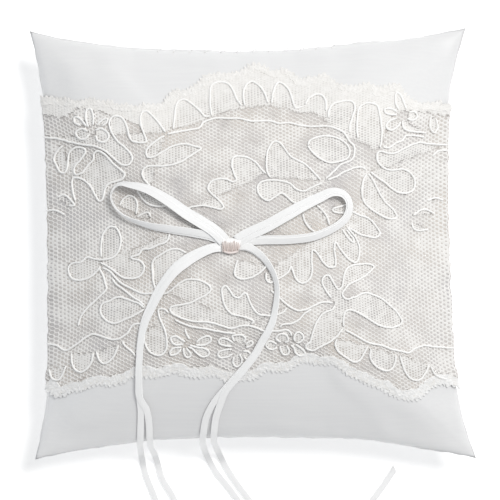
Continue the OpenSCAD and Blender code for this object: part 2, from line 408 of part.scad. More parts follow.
// Fibre filling, grooved around its rim for the seam allowances
module filling() {
    color("white")
        grid_solid(cells, cells, front_inner, back_inner, [allowance_front, allowance_back]);
}

// Front satin panel with its allowance turned in
module cover_front() {
    color(satin)
        grid_solid(cells, cells, front_outer, front_inner, [allowance_middle, allowance_front]);
}

// Back satin panel, flat where it rests
module cover_back() {
    color(satin)
        grid_solid(cells, cells, back_inner, back_outer, [allowance_back, allowance_middle]);
}

// Lockstitch thread that joins the panels, just inside the edge
module seam_thread() {
    inset = 1 - 1.4 / half_d;
    sides = 6;
    path = rim_loop(inset, seam_z);
    n = len(path);
    color("white")
        polyhedron(
            points = [for (i = [0:n - 1])
                let(d = unit(path[(i + 1) % n] - path[(i + n - 1) % n]), out = cross(d, [0, 0, 1]))
                for (k = [0:sides - 1]) let(a = 360 * k / sides)
                    path[i] + thread_d / 2 * (out * cos(a) + [0, 0, 1] * sin(a))],
            faces = [for (i = [0:n - 1]) for (k = [0:sides - 1])
                let(j = (i + 1) % n, l = (k + 1) % sides)
                each [[i * sides + k, j * sides + l, i * sides + l],
                    [i * sides + k, j * sides + k, j * sides + l]]]);
}

// Hand stitches across the gap through which the pillow was stuffed, in the top edge
module closing_stitches() {
    gap = 0.4;             // share of the top edge that was left open
    stitch_length = 3;
    color("white")
        for (i = [0:closing_count - 1]) {
            u = gap * (2 * i / (closing_count - 1) - 1);
            ahead = plan(u + 0.01, 1) - plan(u - 0.01, 1);
            at = plan(u, 1);
            translate([at[0], at[1], seam_z])
                rotate([0, 0, atan2(ahead[1], ahead[0])])
                    rotate([0, 90, 0])
                        cylinder(h = stitch_length, d = thread_d, center = true, $fn = 24);
        }
}

// Net ground of the lace, wavy along both long edges, caught in the seams at its ends
module lace_net() {
    columns = 42;
    rows = 14;
    gap = 0.1;
    place = function(s, t, lift)
        let(p = s * cloth, low = lookup(p, net_bottom), high = lookup(p, net_top))
        face_point(p, low + (high - low) * (t + 1) / 2, lift);
    color(lace_white)
        grid_solid(columns, rows,
            grid_points(columns, rows, function(s, t) place(s, t, gap + net_t)),
            grid_points(columns, rows, function(s, t) place(s, t, gap)));
}

module lace_edge_top() {
    color(lace_white) laid_cords([net_top], edge_d, edge_d / 2);
}

module lace_edge_bottom() {
    color(lace_white) laid_cords([net_bottom], edge_d, edge_d / 2);
}

// Cords drawn on the net, each group in one tube set
module gimp(lines) {
    on_net = 0.4;          // top of the net above the satin
    color(lace_white) laid_cords(lines, gimp_d, on_net + gimp_d / 2);
}

module lace_arches_top() { gimp(arches_top); }
module lace_arches_bottom() { gimp(arches_bottom); }
module lace_stems() { gimp(stems); }
module lace_leaves_left() { gimp(leaves_left); }
module lace_leaves_centre() { gimp(leaves_centre); }
module lace_leaves_right() { gimp(leaves_right); }
module lace_leaves_lower_left() { gimp(leaves_lower_left); }
module lace_leaves_lower_right() { gimp(leaves_lower_right); }
module lace_flowers() { gimp(flowers); }

module ribbon_1_loop_left() { color(ribbon_white) ribbon(loop_left); }
module ribbon_1_loop_right() { color(ribbon_white) ribbon(loop_right); }
module ribbon_1_tail_left() { color(ribbon_white) ribbon(tail_left_on_cloth, table_1_left); }
module ribbon_1_tail_right() { color(ribbon_white) ribbon(tail_right_on_cloth, table_1_right); }

module ribbon_2_loop_left() {
    color(ribbon_white) ribbon(shifted(loop_left, [0.4, 1.4], 1.2, 0, 0));
}

module ribbon_2_loop_right() {
    color(ribbon_white) ribbon(shifted(loop_right, [-0.4, 1.4], 1.2, 0, 0));
}

module ribbon_2_tail_left() {
    color(ribbon_white)
        ribbon(shifted(tail_left_on_cloth, [0.6, -0.4], 1, 5, -78), table_2_left);
}

module ribbon_2_tail_right() {
    color(ribbon_white)
        ribbon(shifted(tail_right_on_cloth, [0.6, -0.4], 1, 5, -78), table_2_right);
}

// The knot, a wrap of both ribbons around their crossing
module bow_knot() {
    at = face_point(knot_at[0], knot_at[1], 0.5);
    r = knot_h / 2;
    color(ribbon_white)
        hull()
            for (x = [-1, 1], y = [-1, 1])
                translate(at + [1.7 * x, 1.1 * y, r])
                    sphere(r = r, $fn = 24);
}

// Stitches that hold the knot to the front panel
module bow_tack_stitches() {
    at = face_point(knot_at[0], knot_at[1], 0);
    depth = 4;             // how far the thread runs below the satin
    color("white")
        for (x = [-1.2, 1.2])
            translate(at + [x, 0, -depth])
                cylinder(h = depth + 0.5, d = thread_d, $fn = 24);
}

filling();
cover_front();
cover_back();
seam_thread();
closing_stitches();
lace_net();
lace_edge_top();
lace_edge_bottom();
lace_arches_top();
lace_arches_bottom();
lace_stems();
lace_leaves_left();
lace_leaves_centre();
lace_leaves_right();
lace_leaves_lower_left();
lace_leaves_lower_right();
lace_flowers();
ribbon_1_loop_left();
ribbon_1_loop_right();
ribbon_1_tail_left();
ribbon_1_tail_right();
ribbon_2_loop_left();
ribbon_2_loop_right();
ribbon_2_tail_left();
ribbon_2_tail_right();
bow_knot();
bow_tack_stitches();
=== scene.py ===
"""Ring bearer pillow: a stuffed satin square, a corded lace band across its front, and a bow of two
narrow ribbons whose tails hang over the lower edge.

Lengths are millimetres until a mesh is made, and the frame's metres after that. A place p, q lies on the
cloth of the front panel: p runs right and q up from the panel's middle, and both seams are at +-CLOTH.
u, v are the same place as shares of CLOTH. The shape's numbers, the lace pattern and the ribbons' routes
repeat those of part.scad.
"""
import math

import bmesh
import bpy
import numpy as np
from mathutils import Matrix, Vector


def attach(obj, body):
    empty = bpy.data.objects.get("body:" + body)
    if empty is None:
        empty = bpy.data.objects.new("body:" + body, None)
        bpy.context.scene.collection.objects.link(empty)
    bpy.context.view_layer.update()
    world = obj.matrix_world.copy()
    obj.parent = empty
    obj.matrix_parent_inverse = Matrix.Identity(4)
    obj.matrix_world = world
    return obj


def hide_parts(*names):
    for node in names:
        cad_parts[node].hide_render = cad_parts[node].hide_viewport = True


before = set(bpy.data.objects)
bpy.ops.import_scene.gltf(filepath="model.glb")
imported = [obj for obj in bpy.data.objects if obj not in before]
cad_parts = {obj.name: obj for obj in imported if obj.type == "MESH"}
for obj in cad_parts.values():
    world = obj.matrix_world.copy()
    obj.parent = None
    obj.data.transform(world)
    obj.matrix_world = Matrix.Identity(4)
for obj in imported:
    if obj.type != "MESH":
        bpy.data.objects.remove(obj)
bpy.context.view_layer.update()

MM = 0.001
CLOTH = 105                 # half size of a panel's flat pattern
HALF_W, HALF_D = 104.5, 101
SEAM_Z, CROWN, BELLY = 27, 39, 33
CORNERS = np.array([[-0.975, -1], [1.002, -0.995], [-1.002, 0.99], [0.953, 1]])
SIDE_PULL = 9.5, 1.5        # how far the left and right sides curve in, and how they differ
END_PULL = 9.85, -0.35      # the same for the bottom and top sides
SIDE_CURVE, END_CURVE = 3.2, 2.3    # exponents of those curves
TOP_SKEW = 0.12             # how much less the top side curves in towards the right
SWELL = 2.2, 0.6            # exponents of the stuffed profile
RIBBON_W, RIBBON_T = 3.1, 0.3
GIMP_D = 0.95
THREAD_D = 0.45
NET_LIFT = 0.55             # height of the net's threads above the satin
NET_PITCH = 2.0
MARK = "mark"               # name of the value from 0 to 1 that a mesh carries for its paint to read


# ---------- camera, floor and light ----------

def add_object(name, data):
    """A new object in the scene that shows the given data."""
    thing = bpy.data.objects.new(name, data)
    bpy.context.scene.collection.objects.link(thing)
    return thing


def make_camera():
    """Straight above the pillow, from about a metre. A new camera looks down."""
    data = bpy.data.cameras.new("camera")
    data.sensor_width = 36
    data.lens = 153.36
    camera = add_object("camera", data)
    camera.location = (-0.0013, -0.0028, 1.027)
    bpy.context.scene.camera = camera


def make_floor():
    """A pale studio sweep, lit a little from within so that shadows on it stay faint."""
    half, drop, white, glow = 3.0, 0.0003, 0.95, 0.31
    mesh = bpy.data.meshes.new("floor")
    mesh.from_pydata([(-half, -half, 0), (half, -half, 0), (half, half, 0), (-half, half, 0)], [],
                     [(0, 1, 2, 3)])
    floor = add_object("floor", mesh)
    floor.location.z = -drop
    paint = bpy.data.materials.new("floor_paint")
    paint.use_nodes = True
    shader = paint.node_tree.nodes["Principled BSDF"]
    shader.inputs["Base Color"].default_value = (white, white, white, 1)
    shader.inputs["Roughness"].default_value = 0.9
    shader.inputs["Emission Color"].default_value = (1, 1, 1, 1)
    shader.inputs["Emission Strength"].default_value = glow
    mesh.materials.append(paint)


def area_light(name, place, size, power, colour):
    """A round light of that size in metres and power in watts, aimed at the pillow's middle."""
    data = bpy.data.lights.new(name, "AREA")
    data.shape = "DISK"
    data.size = size
    data.energy = power
    data.color = colour
    light = add_object(name, data)
    light.location = place
    light.rotation_mode = "QUATERNION"
    aim = Vector((0, 0, 0.03)) - light.location
    light.rotation_quaternion = aim.to_track_quat("-Z", "Y")


def make_light():
    """An even sky, a key light from the upper right, and a weak cool one low at the left."""
    world = bpy.data.worlds.new("studio")
    world.use_nodes = True
    sky = world.node_tree.nodes["Background"]
    sky.inputs["Color"].default_value = (0.97, 0.985, 1, 1)
    sky.inputs["Strength"].default_value = 0.545
    bpy.context.scene.world = world
    bpy.context.scene.view_settings.view_transform = "Standard"
    area_light("key", place=(0.52, 0.48, 1.4), size=0.5, power=13.6, colour=(1, 0.99, 0.97))
    area_light("fill", place=(-0.7, -0.1, 0.06), size=0.3, power=0.3, colour=(0.75, 0.87, 1))


# ---------- the stuffed shape ----------

def profile(t):
    """Share of the full height, from 0 at a seam (t = +-1) to 1 in the middle."""
    return np.clip(1 - np.abs(t) ** SWELL[0], 0, 1) ** SWELL[1]


def plan(u, v):
    """Where the cloth point u, v lies seen from above: drawn in along the sides, pointed at the corners."""
    weights = [(1 - u) * (1 - v), (1 + u) * (1 - v), (1 - u) * (1 + v), (1 + u) * (1 + v)]
    x = HALF_W * sum(w * c[0] for w, c in zip(weights, CORNERS)) / 4
    y = HALF_D * sum(w * c[1] for w, c in zip(weights, CORNERS)) / 4
    pull_x = u * (SIDE_PULL[0] + SIDE_PULL[1] * u) * (1 - np.abs(v) ** SIDE_CURVE)
    pull_y = v * (END_PULL[0] + END_PULL[1] * v) * (1 - np.abs(u) ** END_CURVE)
    return x - pull_x, y - pull_y * (1 - TOP_SKEW * u * (1 + v))


def value_noise(x, y, seed):
    """Smooth noise from -1 to 1 with features one unit across."""
    size = 64
    table = np.random.default_rng(seed).uniform(-1, 1, (size, size))
    i, j = np.floor(x).astype(int), np.floor(y).astype(int)
    s, t = x - i, y - j
    s, t = s * s * (3 - 2 * s), t * t * (3 - 2 * t)
    i, j, i_next, j_next = i % size, j % size, (i + 1) % size, (j + 1) % size
    low = table[i, j] * (1 - s) + table[i_next, j] * s
    high = table[i, j_next] * (1 - s) + table[i_next, j_next] * s
    return low * (1 - t) + high * t


def line_noise(x, row, seed):
    """The same noise along one of its rows."""
    return value_noise(x, 0 * x + row, seed)


def pucker(u, v, seed):
    """Small gathers that run in from the seams, in mm outwards. The seam itself stays where it is."""
    tight_pitch, tight_reach, tight_height = 5.5, 6, 0.55
    loose_pitch, loose_reach, loose_height = 19, 22, 0.8
    from_seam = CLOTH * (1 - np.maximum(np.abs(u), np.abs(v)))
    beside = np.abs(u) > np.abs(v)
    along = np.where(beside, v, u)
    side = np.where(beside, np.sign(u), 3 * np.sign(v))     # another row of the noise for each side
    fade = (1 - along ** 6) * (1 - np.exp(-(from_seam / 1.6) ** 2))
    tight = value_noise(along * CLOTH / tight_pitch, 7.3 * side, seed) * np.exp(-from_seam / tight_reach)
    loose = value_noise(along * CLOTH / loose_pitch, 5.1 * side, seed + 1) * np.exp(-from_seam / loose_reach)
    return fade * (tight_height * tight + loose_height * loose)


def plain_front(u, v):
    """The front panel as a smooth stuffed shape."""
    x, y = plan(u, v)
    return np.stack([x, y, SEAM_Z + CROWN * profile(u) * profile(v)], axis=-1)


def plain_back(u, v):
    """The same for the back panel, flattened where the pillow rests."""
    x, y = plan(u, v)
    return np.stack([x, y, soft_floor(SEAM_Z - BELLY * profile(u) * profile(v))], axis=-1)


def soft_floor(z):
    """z with a rounded turn near 0, which keeps the back just above the floor."""
    turn, sag = 1.2, 0.02
    return 0.5 * (z + np.sqrt(z * z + turn)) - sag


# ---------- the lace pattern, as places p, q on the cloth ----------

NET_TOP = [[-105, 72], [-98, 73], [-88, 72], [-79, 74], [-70, 72.5], [-60, 71.5], [-52, 72],
    [-45, 74], [-40, 78], [-36, 82], [-30, 83], [-24, 86.5], [-20, 90.5], [-15, 91.5], [-9, 91.5],
    [-3, 93.5], [3, 96], [8, 95], [12, 93], [18, 93.5], [22, 91.5], [26, 87.5], [31, 88.5],
    [37, 88.5], [42, 85.5], [48, 82.5], [54, 80.5], [60, 81], [66, 78], [71, 79], [76, 79.3],
    [80, 73], [85, 70.5], [90, 69.5], [97, 68.5], [105, 68]]
NET_BOTTOM = [[-105, -69], [-102, -72], [-99, -75], [-95, -74], [-91, -72.5], [-88, -73.5],
    [-83, -72], [-78, -70.5], [-70, -71], [-65, -70], [-61, -68], [-57, -67], [-53, -68],
    [-49, -69], [-43, -68], [-38, -67.5], [-35, -70], [-28, -71], [-20, -70], [-16, -72.5],
    [-11, -73.5], [-6, -73], [-1, -72.5], [3, -69.5], [6, -67.5], [12, -68.7], [18, -67],
    [23, -63.5], [28, -63], [33, -64], [38, -62], [42, -63.5], [46, -67], [52, -69.5], [58, -72],
    [64, -73.8], [70, -77], [75, -78.7], [80, -78], [86, -75], [91, -71.5], [97, -69], [105, -71]]
ARCHES_TOP = [
    [[-38, 60], [-37, 68], [-35.5, 75], [-32, 77.5], [-28, 75], [-24, 71], [-22, 68.5], [-19.5, 68.5]],
    [[-18.5, 69], [-19, 78], [-18, 85], [-14, 87], [-10, 86], [-7.5, 82.5], [-6, 78], [-3.5, 74]],
    [[-2, 74], [-2.5, 80], [-1, 85], [2, 87], [5.5, 84.5], [8, 80.5], [9.5, 75.5]],
    [[11.5, 75], [12.5, 82], [15, 86], [18, 84.5], [20.5, 81], [22, 76], [23.5, 72], [27, 72.5]],
    [[28.5, 73.5], [30.5, 77], [34, 78.5], [37, 77.5], [39, 74], [39, 69]],
    [[40.2, 65], [40.5, 69], [43, 72], [48, 73], [52, 72.3], [53.5, 69], [52.5, 65], [51, 60], [51, 56]],
    [[55, 53], [54.5, 60], [55.5, 68], [58, 70.3], [61, 70.8], [64.5, 69.5], [66, 66], [67, 60], [67.5, 54],
        [66.5, 48]]]
ARCHES_BOTTOM = [
    [[-102, -61], [-101, -65], [-99, -66.5], [-97, -65.5], [-94.5, -60]],
    [[-92, -54], [-91.5, -58], [-90, -61.5], [-87, -63.3], [-84, -62], [-81.5, -59], [-80.5, -54.5]],
    [[-79, -53.5], [-77.5, -57.5], [-75, -60], [-72, -59], [-69.5, -56], [-67.5, -51]],
    [[-65.5, -49], [-64, -51.5], [-60.5, -54.5], [-58.5, -57]],
    [[42, -48.5], [41, -51.5], [42.5, -55], [46, -57.8], [50, -60], [53, -59], [55, -56], [57.5, -52]],
    [[59, -53], [58.5, -57], [60, -60.5], [63, -63], [66.5, -64], [69.5, -62.5], [71.3, -59], [71.8, -55.5]],
    [[74, -56], [75, -60], [76.3, -64], [78.5, -67], [81.5, -68], [84.5, -67], [87, -64], [89.5, -59.5]],
    [[90.5, -60.5], [92, -64], [95, -66], [98.5, -67]]]
STEMS = [
    [[-41, 57], [-36, 58.5], [-30, 60.5], [-25, 62], [-22.5, 65], [-17, 67.3], [-10, 67.3], [-4, 67],
        [1, 65.6], [10, 65.5], [15, 64], [20, 64.2], [26, 62.5], [32, 61.3], [39, 60.5], [44, 58.5],
        [48, 56], [50.5, 52], [53, 49], [53, 45], [51, 42], [46, 40], [42, 36.5], [38, 33]],
    [[39, 32.5], [44, 34.3], [48, 36.5], [53, 38.3], [57, 38.5], [59, 37]],
    [[-77, -11.5], [-73, -13.5], [-70, -17], [-66.5, -20], [-62, -22.3], [-57.5, -24.5], [-53, -25.2],
        [-49, -24.5]],
    [[-72, -17], [-70, -19.8], [-66, -22.8], [-61, -26.7], [-57, -28.9], [-54.5, -31]],
    [[-78.5, -12], [-76.8, -15], [-75.5, -19.5], [-75, -22.5], [-78, -25.5], [-82, -29], [-86, -32.3],
        [-88.5, -36], [-89.8, -40]],
    [[-104, -48], [-100, -49.3], [-95.5, -52.2], [-91, -50], [-86.5, -47.2], [-82, -45], [-77, -46],
        [-70.5, -48], [-66, -47.2], [-63, -45], [-60.5, -41.5], [-58.5, -40.3], [-55.5, -40.5]],
    [[-39, -38.5], [-36, -40], [-31, -42], [-25, -43.2], [-19, -44.7], [-13, -46.3], [-9, -46.5]],
    [[9, -23.5], [12.5, -26.5], [15.5, -29.5], [19, -32.3], [23, -34], [27, -33.2], [31, -31.2],
        [35, -29.7], [40, -30]],
    [[13.5, -43], [14, -41.7], [16, -41], [20, -40.3], [23.5, -38], [26, -35.3], [29.5, -33.3]],
    [[46.5, -44], [50, -45.7], [54.5, -48.3], [58.5, -50.2], [64, -51], [70, -52.9], [75, -53.7],
        [79, -54.2], [83, -52], [88, -50.5], [94, -50.8], [103, -51]],
    [[68, 48.3], [71.5, 48], [75, 50.2], [78.5, 51.5], [80.5, 53.5], [86, 53.3], [91, 52.5]]]
LEAVES_LEFT = [
    [[-104, 53], [-98, 52.5], [-92, 51.3], [-86, 50.7], [-80, 50.5], [-76, 49.5], [-72, 47.5],
        [-68, 44], [-64.5, 41.2], [-61, 41], [-59, 43], [-59.2, 46], [-62, 49.5], [-66, 53], [-69, 58],
        [-69.5, 63], [-66.5, 65.5], [-63, 64.5], [-61, 60.5], [-60, 55.5], [-58, 52.8], [-54, 52.3],
        [-51.5, 52.8], [-52.5, 57], [-54, 62], [-53.5, 67.5], [-51, 69], [-48, 66.5], [-44.5, 62],
        [-42, 58]],
    [[-42.5, 56], [-46, 53.8], [-49.3, 51], [-51.5, 48], [-51, 45], [-48, 45], [-43, 48], [-38.5, 50.5],
        [-33, 52], [-28, 51], [-24.5, 49.8], [-28, 47], [-32, 44], [-35.5, 42], [-41, 40.5],
        [-47, 40.3], [-51.5, 40], [-54, 37], [-53, 33.5], [-50, 30]],
    [[-96, 49], [-98.5, 46.5], [-100, 42.5], [-98.5, 37.5], [-96.5, 35.5], [-94.5, 37], [-93.5, 42],
        [-92.5, 46], [-89, 48.5], [-84.5, 48.7], [-83.8, 46.5], [-87, 42.5], [-90.5, 38.5], [-90, 35],
        [-86.5, 36], [-83, 40], [-80, 43], [-79, 46.2], [-76, 47.7], [-72.5, 45.8], [-68.5, 41.3],
        [-64.5, 38], [-63, 36.2], [-65, 33.7], [-68.5, 32.2], [-72, 31.2], [-74.5, 28.5], [-76, 23.5],
        [-78, 22], [-80, 25], [-82.5, 29.5], [-86, 32.5], [-90, 33.5], [-92, 31.5], [-91.5, 26],
        [-90.5, 22]],
    [[-99, 23.5], [-96, 24.8], [-93, 22.5], [-91, 19.8], [-94, 19.5]],
    [[-104, 17], [-100, 17], [-96, 15]],
    [[-67.5, 20], [-65.5, 23], [-62, 25], [-59, 23.5], [-58, 20], [-59, 15.5]],
    [[-58.5, 14], [-55, 15.7], [-52, 16.5], [-50.5, 14]],
    [[-57.5, 28.5], [-55.5, 24.5], [-52.5, 21.5], [-48, 19.8], [-42, 19.8]]]
LEAVES_CENTRE = [
    [[8, 36], [5.5, 38.5], [3, 42], [-1, 44.8], [-5, 45.8], [-8, 45], [-9, 40.5], [-8, 36],
        [-7, 33], [-9, 32], [-12, 33.3], [-16, 33.6], [-19.5, 32], [-21.3, 29], [-19.5, 26],
        [-16, 22.8], [-13.7, 19.5], [-15.3, 18], [-19, 19], [-24, 20], [-30, 19], [-32, 17.5]],
    [[10, 34], [8.5, 38], [8.5, 45], [10, 51], [12.5, 54.3], [15.5, 53], [18, 49], [20.5, 45],
        [24, 42.8], [28, 40.5], [32, 36.5], [35.5, 32.5]],
    [[36.5, 31], [31.5, 29], [27, 27], [23, 28], [20, 30.8], [15, 32.3], [9, 32.5], [5, 31.3], [3.5, 28],
        [5, 24.5], [8.5, 22.3], [12, 24], [15.5, 26], [18.5, 24], [21.5, 21.3], [26, 21.2], [30, 22.5]],
    [[-7, -8], [-8.3, -12], [-8.8, -15.5], [-6.5, -17.5], [-2.5, -17.7], [1.5, -16], [5, -13.5],
        [7.5, -11]],
    [[17, -32.5], [15, -35], [11, -36.2], [6.5, -36.5], [3, -35.8], [0.5, -33.5], [-1.5, -29.5],
        [-3, -25.5], [-4.7, -25.2], [-6.8, -27.3], [-9.5, -26.5], [-11.5, -23.5], [-13.5, -21.2],
        [-15.3, -23], [-15, -28], [-13.5, -32.5], [-10.5, -35.8], [-6, -37], [-2.5, -38],
        [0.3, -39.7], [-1, -41]]]
LEAVES_RIGHT = [
    [[29.5, 50.5], [31, 53.5], [36, 55], [41, 54.7], [46, 52.8], [49.6, 49.8], [50.9, 46.5], [49.5, 43.3],
        [45.5, 41.7], [41, 41], [36, 43], [32, 46.5], [29.5, 50.2]],
    [[61.5, 36], [65, 33.7], [70, 30.8], [74, 27.7], [78, 25.5], [83, 25], [86.5, 27], [87, 31],
        [84.5, 34.8], [80, 37], [74, 36.8], [69, 38], [65.5, 41], [65, 45], [67, 46.2], [72, 45],
        [77, 46], [82, 48.5], [88, 50], [94, 49], [103, 48]],
    [[59.8, 35], [57.5, 31.5], [57, 26], [58.5, 21.5], [62, 18], [66, 15.5], [71, 13], [75.5, 12.3],
        [77, 13.5], [75, 17], [71, 20.5], [68, 24.5], [65, 29.5], [62, 33.5], [60.3, 35]],
    [[51, 16.5], [56, 14.5], [61, 13], [64.5, 10], [67.5, 5.3], [65, 3.2], [61, 3.7], [56, 5],
        [51.5, 7.3], [49, 8], [51, 6], [54, 3], [55.8, -1], [55.8, -6], [54, -9.3], [50.5, -8.5],
        [47, -5.5], [44, -1.5], [42, 1], [41.5, -3], [42, -8], [41.5, -11.5], [38.5, -11.8], [35.5, -9],
        [33, -5], [30.5, -3.2], [30, -8], [30, -14], [28.5, -18], [25, -20], [22, -18], [20.5, -14],
        [19.5, -11.5], [18, -14.5], [15, -16.7], [11.5, -18.5], [9, -19.8], [7, -18], [7, -14.5]],
    [[46, 7.3], [48, 4.3], [50.5, 1.8], [52.5, 0.8], [52.3, 2.8], [50.5, 4.5], [48, 7.3]],
    [[49, 20], [45, 19], [41.5, 18], [41.5, 16.5], [44.5, 15.7], [49, 16]],
    [[33, 20], [36, 17], [38.3, 13.5], [39.3, 9.5]],
    [[26, 15.5], [27, 11.5], [29, 8.3], [32, 6]],
    [[86, 14], [89, 16], [92, 16.8], [95, 16], [97.5, 14.5]],
    [[85, 10.5], [86, 7.5], [89, 6.5], [94, 7]],
    [[94, 21], [97.5, 22.5], [101, 21.3]],
    [[96, 43], [99, 45], [103, 45.5]],
    [[93.5, 62], [94, 57.5], [96.5, 54.5], [98.5, 56.5], [97, 61]]]
LEAVES_LOWER_LEFT = [
    [[-77.5, -6], [-77.5, -1], [-76.5, 5], [-74, 8.5], [-71.5, 9.3], [-69, 8], [-67.3, 4], [-67.3, 0],
        [-69, -4], [-72, -6.5], [-77, -7.4], [-81, -7], [-84.5, -6.3], [-88, -8.5], [-92, -9],
        [-94.3, -11], [-93.8, -15], [-91, -17.3], [-86.5, -17.2], [-82.5, -15.5], [-79.5, -12.8],
        [-78, -10.8]],
    [[-78, -8.8], [-74, -11], [-70, -14], [-66.5, -16.5], [-62, -17.2], [-58, -16.3], [-55.5, -13.5],
        [-55.3, -10.5], [-57.5, -8], [-61.5, -7], [-61.8, -6], [-58, -5], [-55.5, -2.5], [-51, -1.8],
        [-46, 0], [-42, 2], [-40.5, 5.5]],
    [[-54.5, -32.3], [-57, -30.2], [-61, -28.9], [-65, -27.3], [-69, -26.5], [-73, -28], [-77, -29.5],
        [-78.3, -32.5], [-77, -36], [-73.5, -39], [-69.5, -39.7], [-65, -38.2], [-60, -36.3],
        [-56.5, -34.5], [-54.7, -33]],
    [[-48.5, -23], [-50.3, -18], [-50.5, -11.5], [-49.5, -8], [-45, -4.8], [-40, -2.5], [-36, -2.5],
        [-32.5, -4.3]],
    [[-46.5, -23.5], [-44.3, -25.3], [-41.5, -24], [-38, -21], [-34.5, -18.7], [-31, -17.8],
        [-26.5, -18.4], [-22.5, -20.3], [-20.7, -23], [-22.5, -25.5], [-27, -28], [-31.5, -30],
        [-37, -31.2], [-41, -32.5], [-40.3, -35.2], [-36.5, -37.3], [-32, -39], [-26, -39.7],
        [-21, -40.2], [-16, -42], [-11, -43.7], [-7, -42.2], [-3, -41.9], [1, -43], [5, -44.7],
        [9, -44.8], [12.5, -44.8], [16, -44], [18.3, -45], [19.3, -47.5]],
    [[-42, -35], [-44, -33.3], [-47, -33.5], [-46.5, -37.5], [-44.5, -42.5], [-43.3, -47.5],
        [-43.2, -52.5], [-44.5, -55.5], [-47.5, -56.8], [-51.5, -55], [-53.8, -51], [-54.5, -46]]]
LEAVES_LOWER_RIGHT = [
    [[39.5, -27.5], [37, -24], [35, -19.5], [36, -16.7], [38.5, -16.2], [40.5, -19.5], [43, -23.2],
        [45, -22], [46, -18], [47.5, -13.5], [50.5, -11.2], [55, -10.5], [60, -10], [63.8, -11.5],
        [61.5, -14], [57.5, -16.7], [53.5, -18.8], [49.5, -20.3], [46.5, -23], [45.2, -25.5],
        [46.8, -28], [51, -27.3], [56.5, -25], [62, -25.7], [67, -27.5], [71, -30.5], [75, -34],
        [77.5, -38.5], [75, -41], [70, -42], [64.5, -41.3], [60, -39], [55, -36], [50, -33.7],
        [46.7, -34.3], [45.5, -38], [45.5, -42]],
    [[41.5, -31.5], [39.5, -33.5], [35.5, -35.2], [33, -38], [31, -41.7], [29.7, -45.5], [28.5, -50],
        [26.3, -52.3], [26.5, -54.5], [29.5, -55], [34, -52.3], [39, -49.5], [42.5, -46.3],
        [45, -43.3]]]
FLOWERS = [
    [[-80.5, 59.5], [-81.5, 64], [-80.5, 68], [-78.5, 68.5], [-77.5, 65], [-77.8, 60.5]],
    [[-81.5, 60], [-84.5, 63.5], [-87, 64], [-87.5, 61.5], [-84.5, 60]],
    [[-77, 58], [-74, 59], [-70.7, 57], [-70.5, 54.3], [-73, 52.3], [-76, 53], [-77, 55.5]],
    [[-76, 60.5], [-73, 63.3], [-70.5, 64], [-71, 62], [-73.5, 60.3]],
    [[-81, 57.5], [-84, 58.5], [-87.5, 56.5], [-86, 53.8], [-83, 53.5], [-80.5, 55.5]],
    [[76, 66.5], [74.3, 70], [74.3, 75], [76.5, 74], [78.5, 70], [80, 66.5]],
    [[75, 65.5], [72, 67.3], [69, 67.3], [69, 65.5], [72, 64.3], [75, 64.3]],
    [[75, 62.5], [71, 61], [69.8, 58], [72.5, 56.5], [76, 58.5], [77, 60.5]],
    [[81.5, 65], [84.5, 65], [86, 62.5], [83, 61], [80.5, 62]],
    [[78, 61], [78.7, 57.5], [81.5, 55.9], [86, 55.2], [92, 54.7]],
    [[-34, -50.3], [-37, -48], [-39, -47], [-41.2, -48], [-40.3, -50.5], [-38.5, -51.6], [-35, -51.4]],
    [[-36, -53], [-39.5, -53.2], [-41.7, -55], [-41.2, -57], [-38.7, -56.8], [-36, -54.3]],
    [[-35, -53.5], [-34.7, -57], [-33.5, -59.2], [-31.8, -59.3], [-31.4, -57.5], [-33.5, -53.8]],
    [[-32.7, -53], [-30.5, -54.5], [-28.8, -57], [-26, -59.5], [-23.3, -59.3], [-22.2, -57.3],
        [-24.5, -55], [-28, -53.8], [-32, -52]],
    [[-29, -52.2], [-25, -52.7], [-22, -51.3], [-21.3, -49], [-23, -47.5], [-26, -48.5], [-28.5, -50.8]],
    [[-34, -43.5], [-33.3, -46], [-31.8, -49]],
    [[-10.3, -52.3], [-12, -51], [-14, -49.8], [-16, -49.6], [-17.5, -51], [-16.5, -53], [-13.5, -54],
        [-11, -54.3]],
    [[-11, -56], [-14, -56], [-17.3, -57.3], [-18, -59], [-16.5, -60.5], [-13.5, -60.3], [-10.8, -58.5]],
    [[-10.2, -60], [-10.5, -63.5], [-9, -65.5], [-7, -64.5], [-6.2, -61.5], [-7.3, -58.5]],
    [[-9.7, -51.5], [-10.5, -48.5], [-7.8, -47.7], [-5.5, -48], [-4, -50], [-5, -52.3]],
    [[-4, -53.6], [-2.6, -52], [-1, -51.3], [-0.5, -52.7], [-1.8, -54], [-4, -55]],
    [[-5.5, -57], [-3, -57.3], [-1.8, -59], [-3.7, -61.5], [-5, -60]],
    [[11.5, -53], [9, -51.3], [7, -51.6], [6, -53.3], [7, -55.3], [9.3, -56], [11.5, -54.5]],
    [[13, -54], [13.5, -56.5], [14.5, -58.6], [16.5, -58.6], [17.5, -56.5], [16.5, -53.5]],
    [[18.5, -53], [20, -54.5], [20.7, -57.5], [23, -59], [25.5, -57.5], [24, -54.8], [21, -52.3]],
    [[20.5, -50.3], [20.3, -47.5], [22, -45.3], [24.3, -46], [25, -48.5], [23.3, -50.7], [21.5, -51.3]],
    [[13.7, -51.5], [11.3, -49.5], [12.3, -47], [14.5, -46.3], [16.8, -47.3], [17.3, -50], [15.5, -51.5]]]
CORD_RUNS = {"arches_top": ARCHES_TOP, "arches_bottom": ARCHES_BOTTOM, "stems": STEMS,
             "leaves_left": LEAVES_LEFT, "leaves_centre": LEAVES_CENTRE, "leaves_right": LEAVES_RIGHT,
             "leaves_lower_left": LEAVES_LOWER_LEFT, "leaves_lower_right": LEAVES_LOWER_RIGHT,
             "flowers": FLOWERS}
MOTIFS = [line for run, lines in CORD_RUNS.items() if run != "stems" for line in lines]


# ---------- meshes ----------

def unit(a):
    """The same vectors, each made one long."""
    return a / np.maximum(np.linalg.norm(a, axis=-1, keepdims=True), 1e-9)


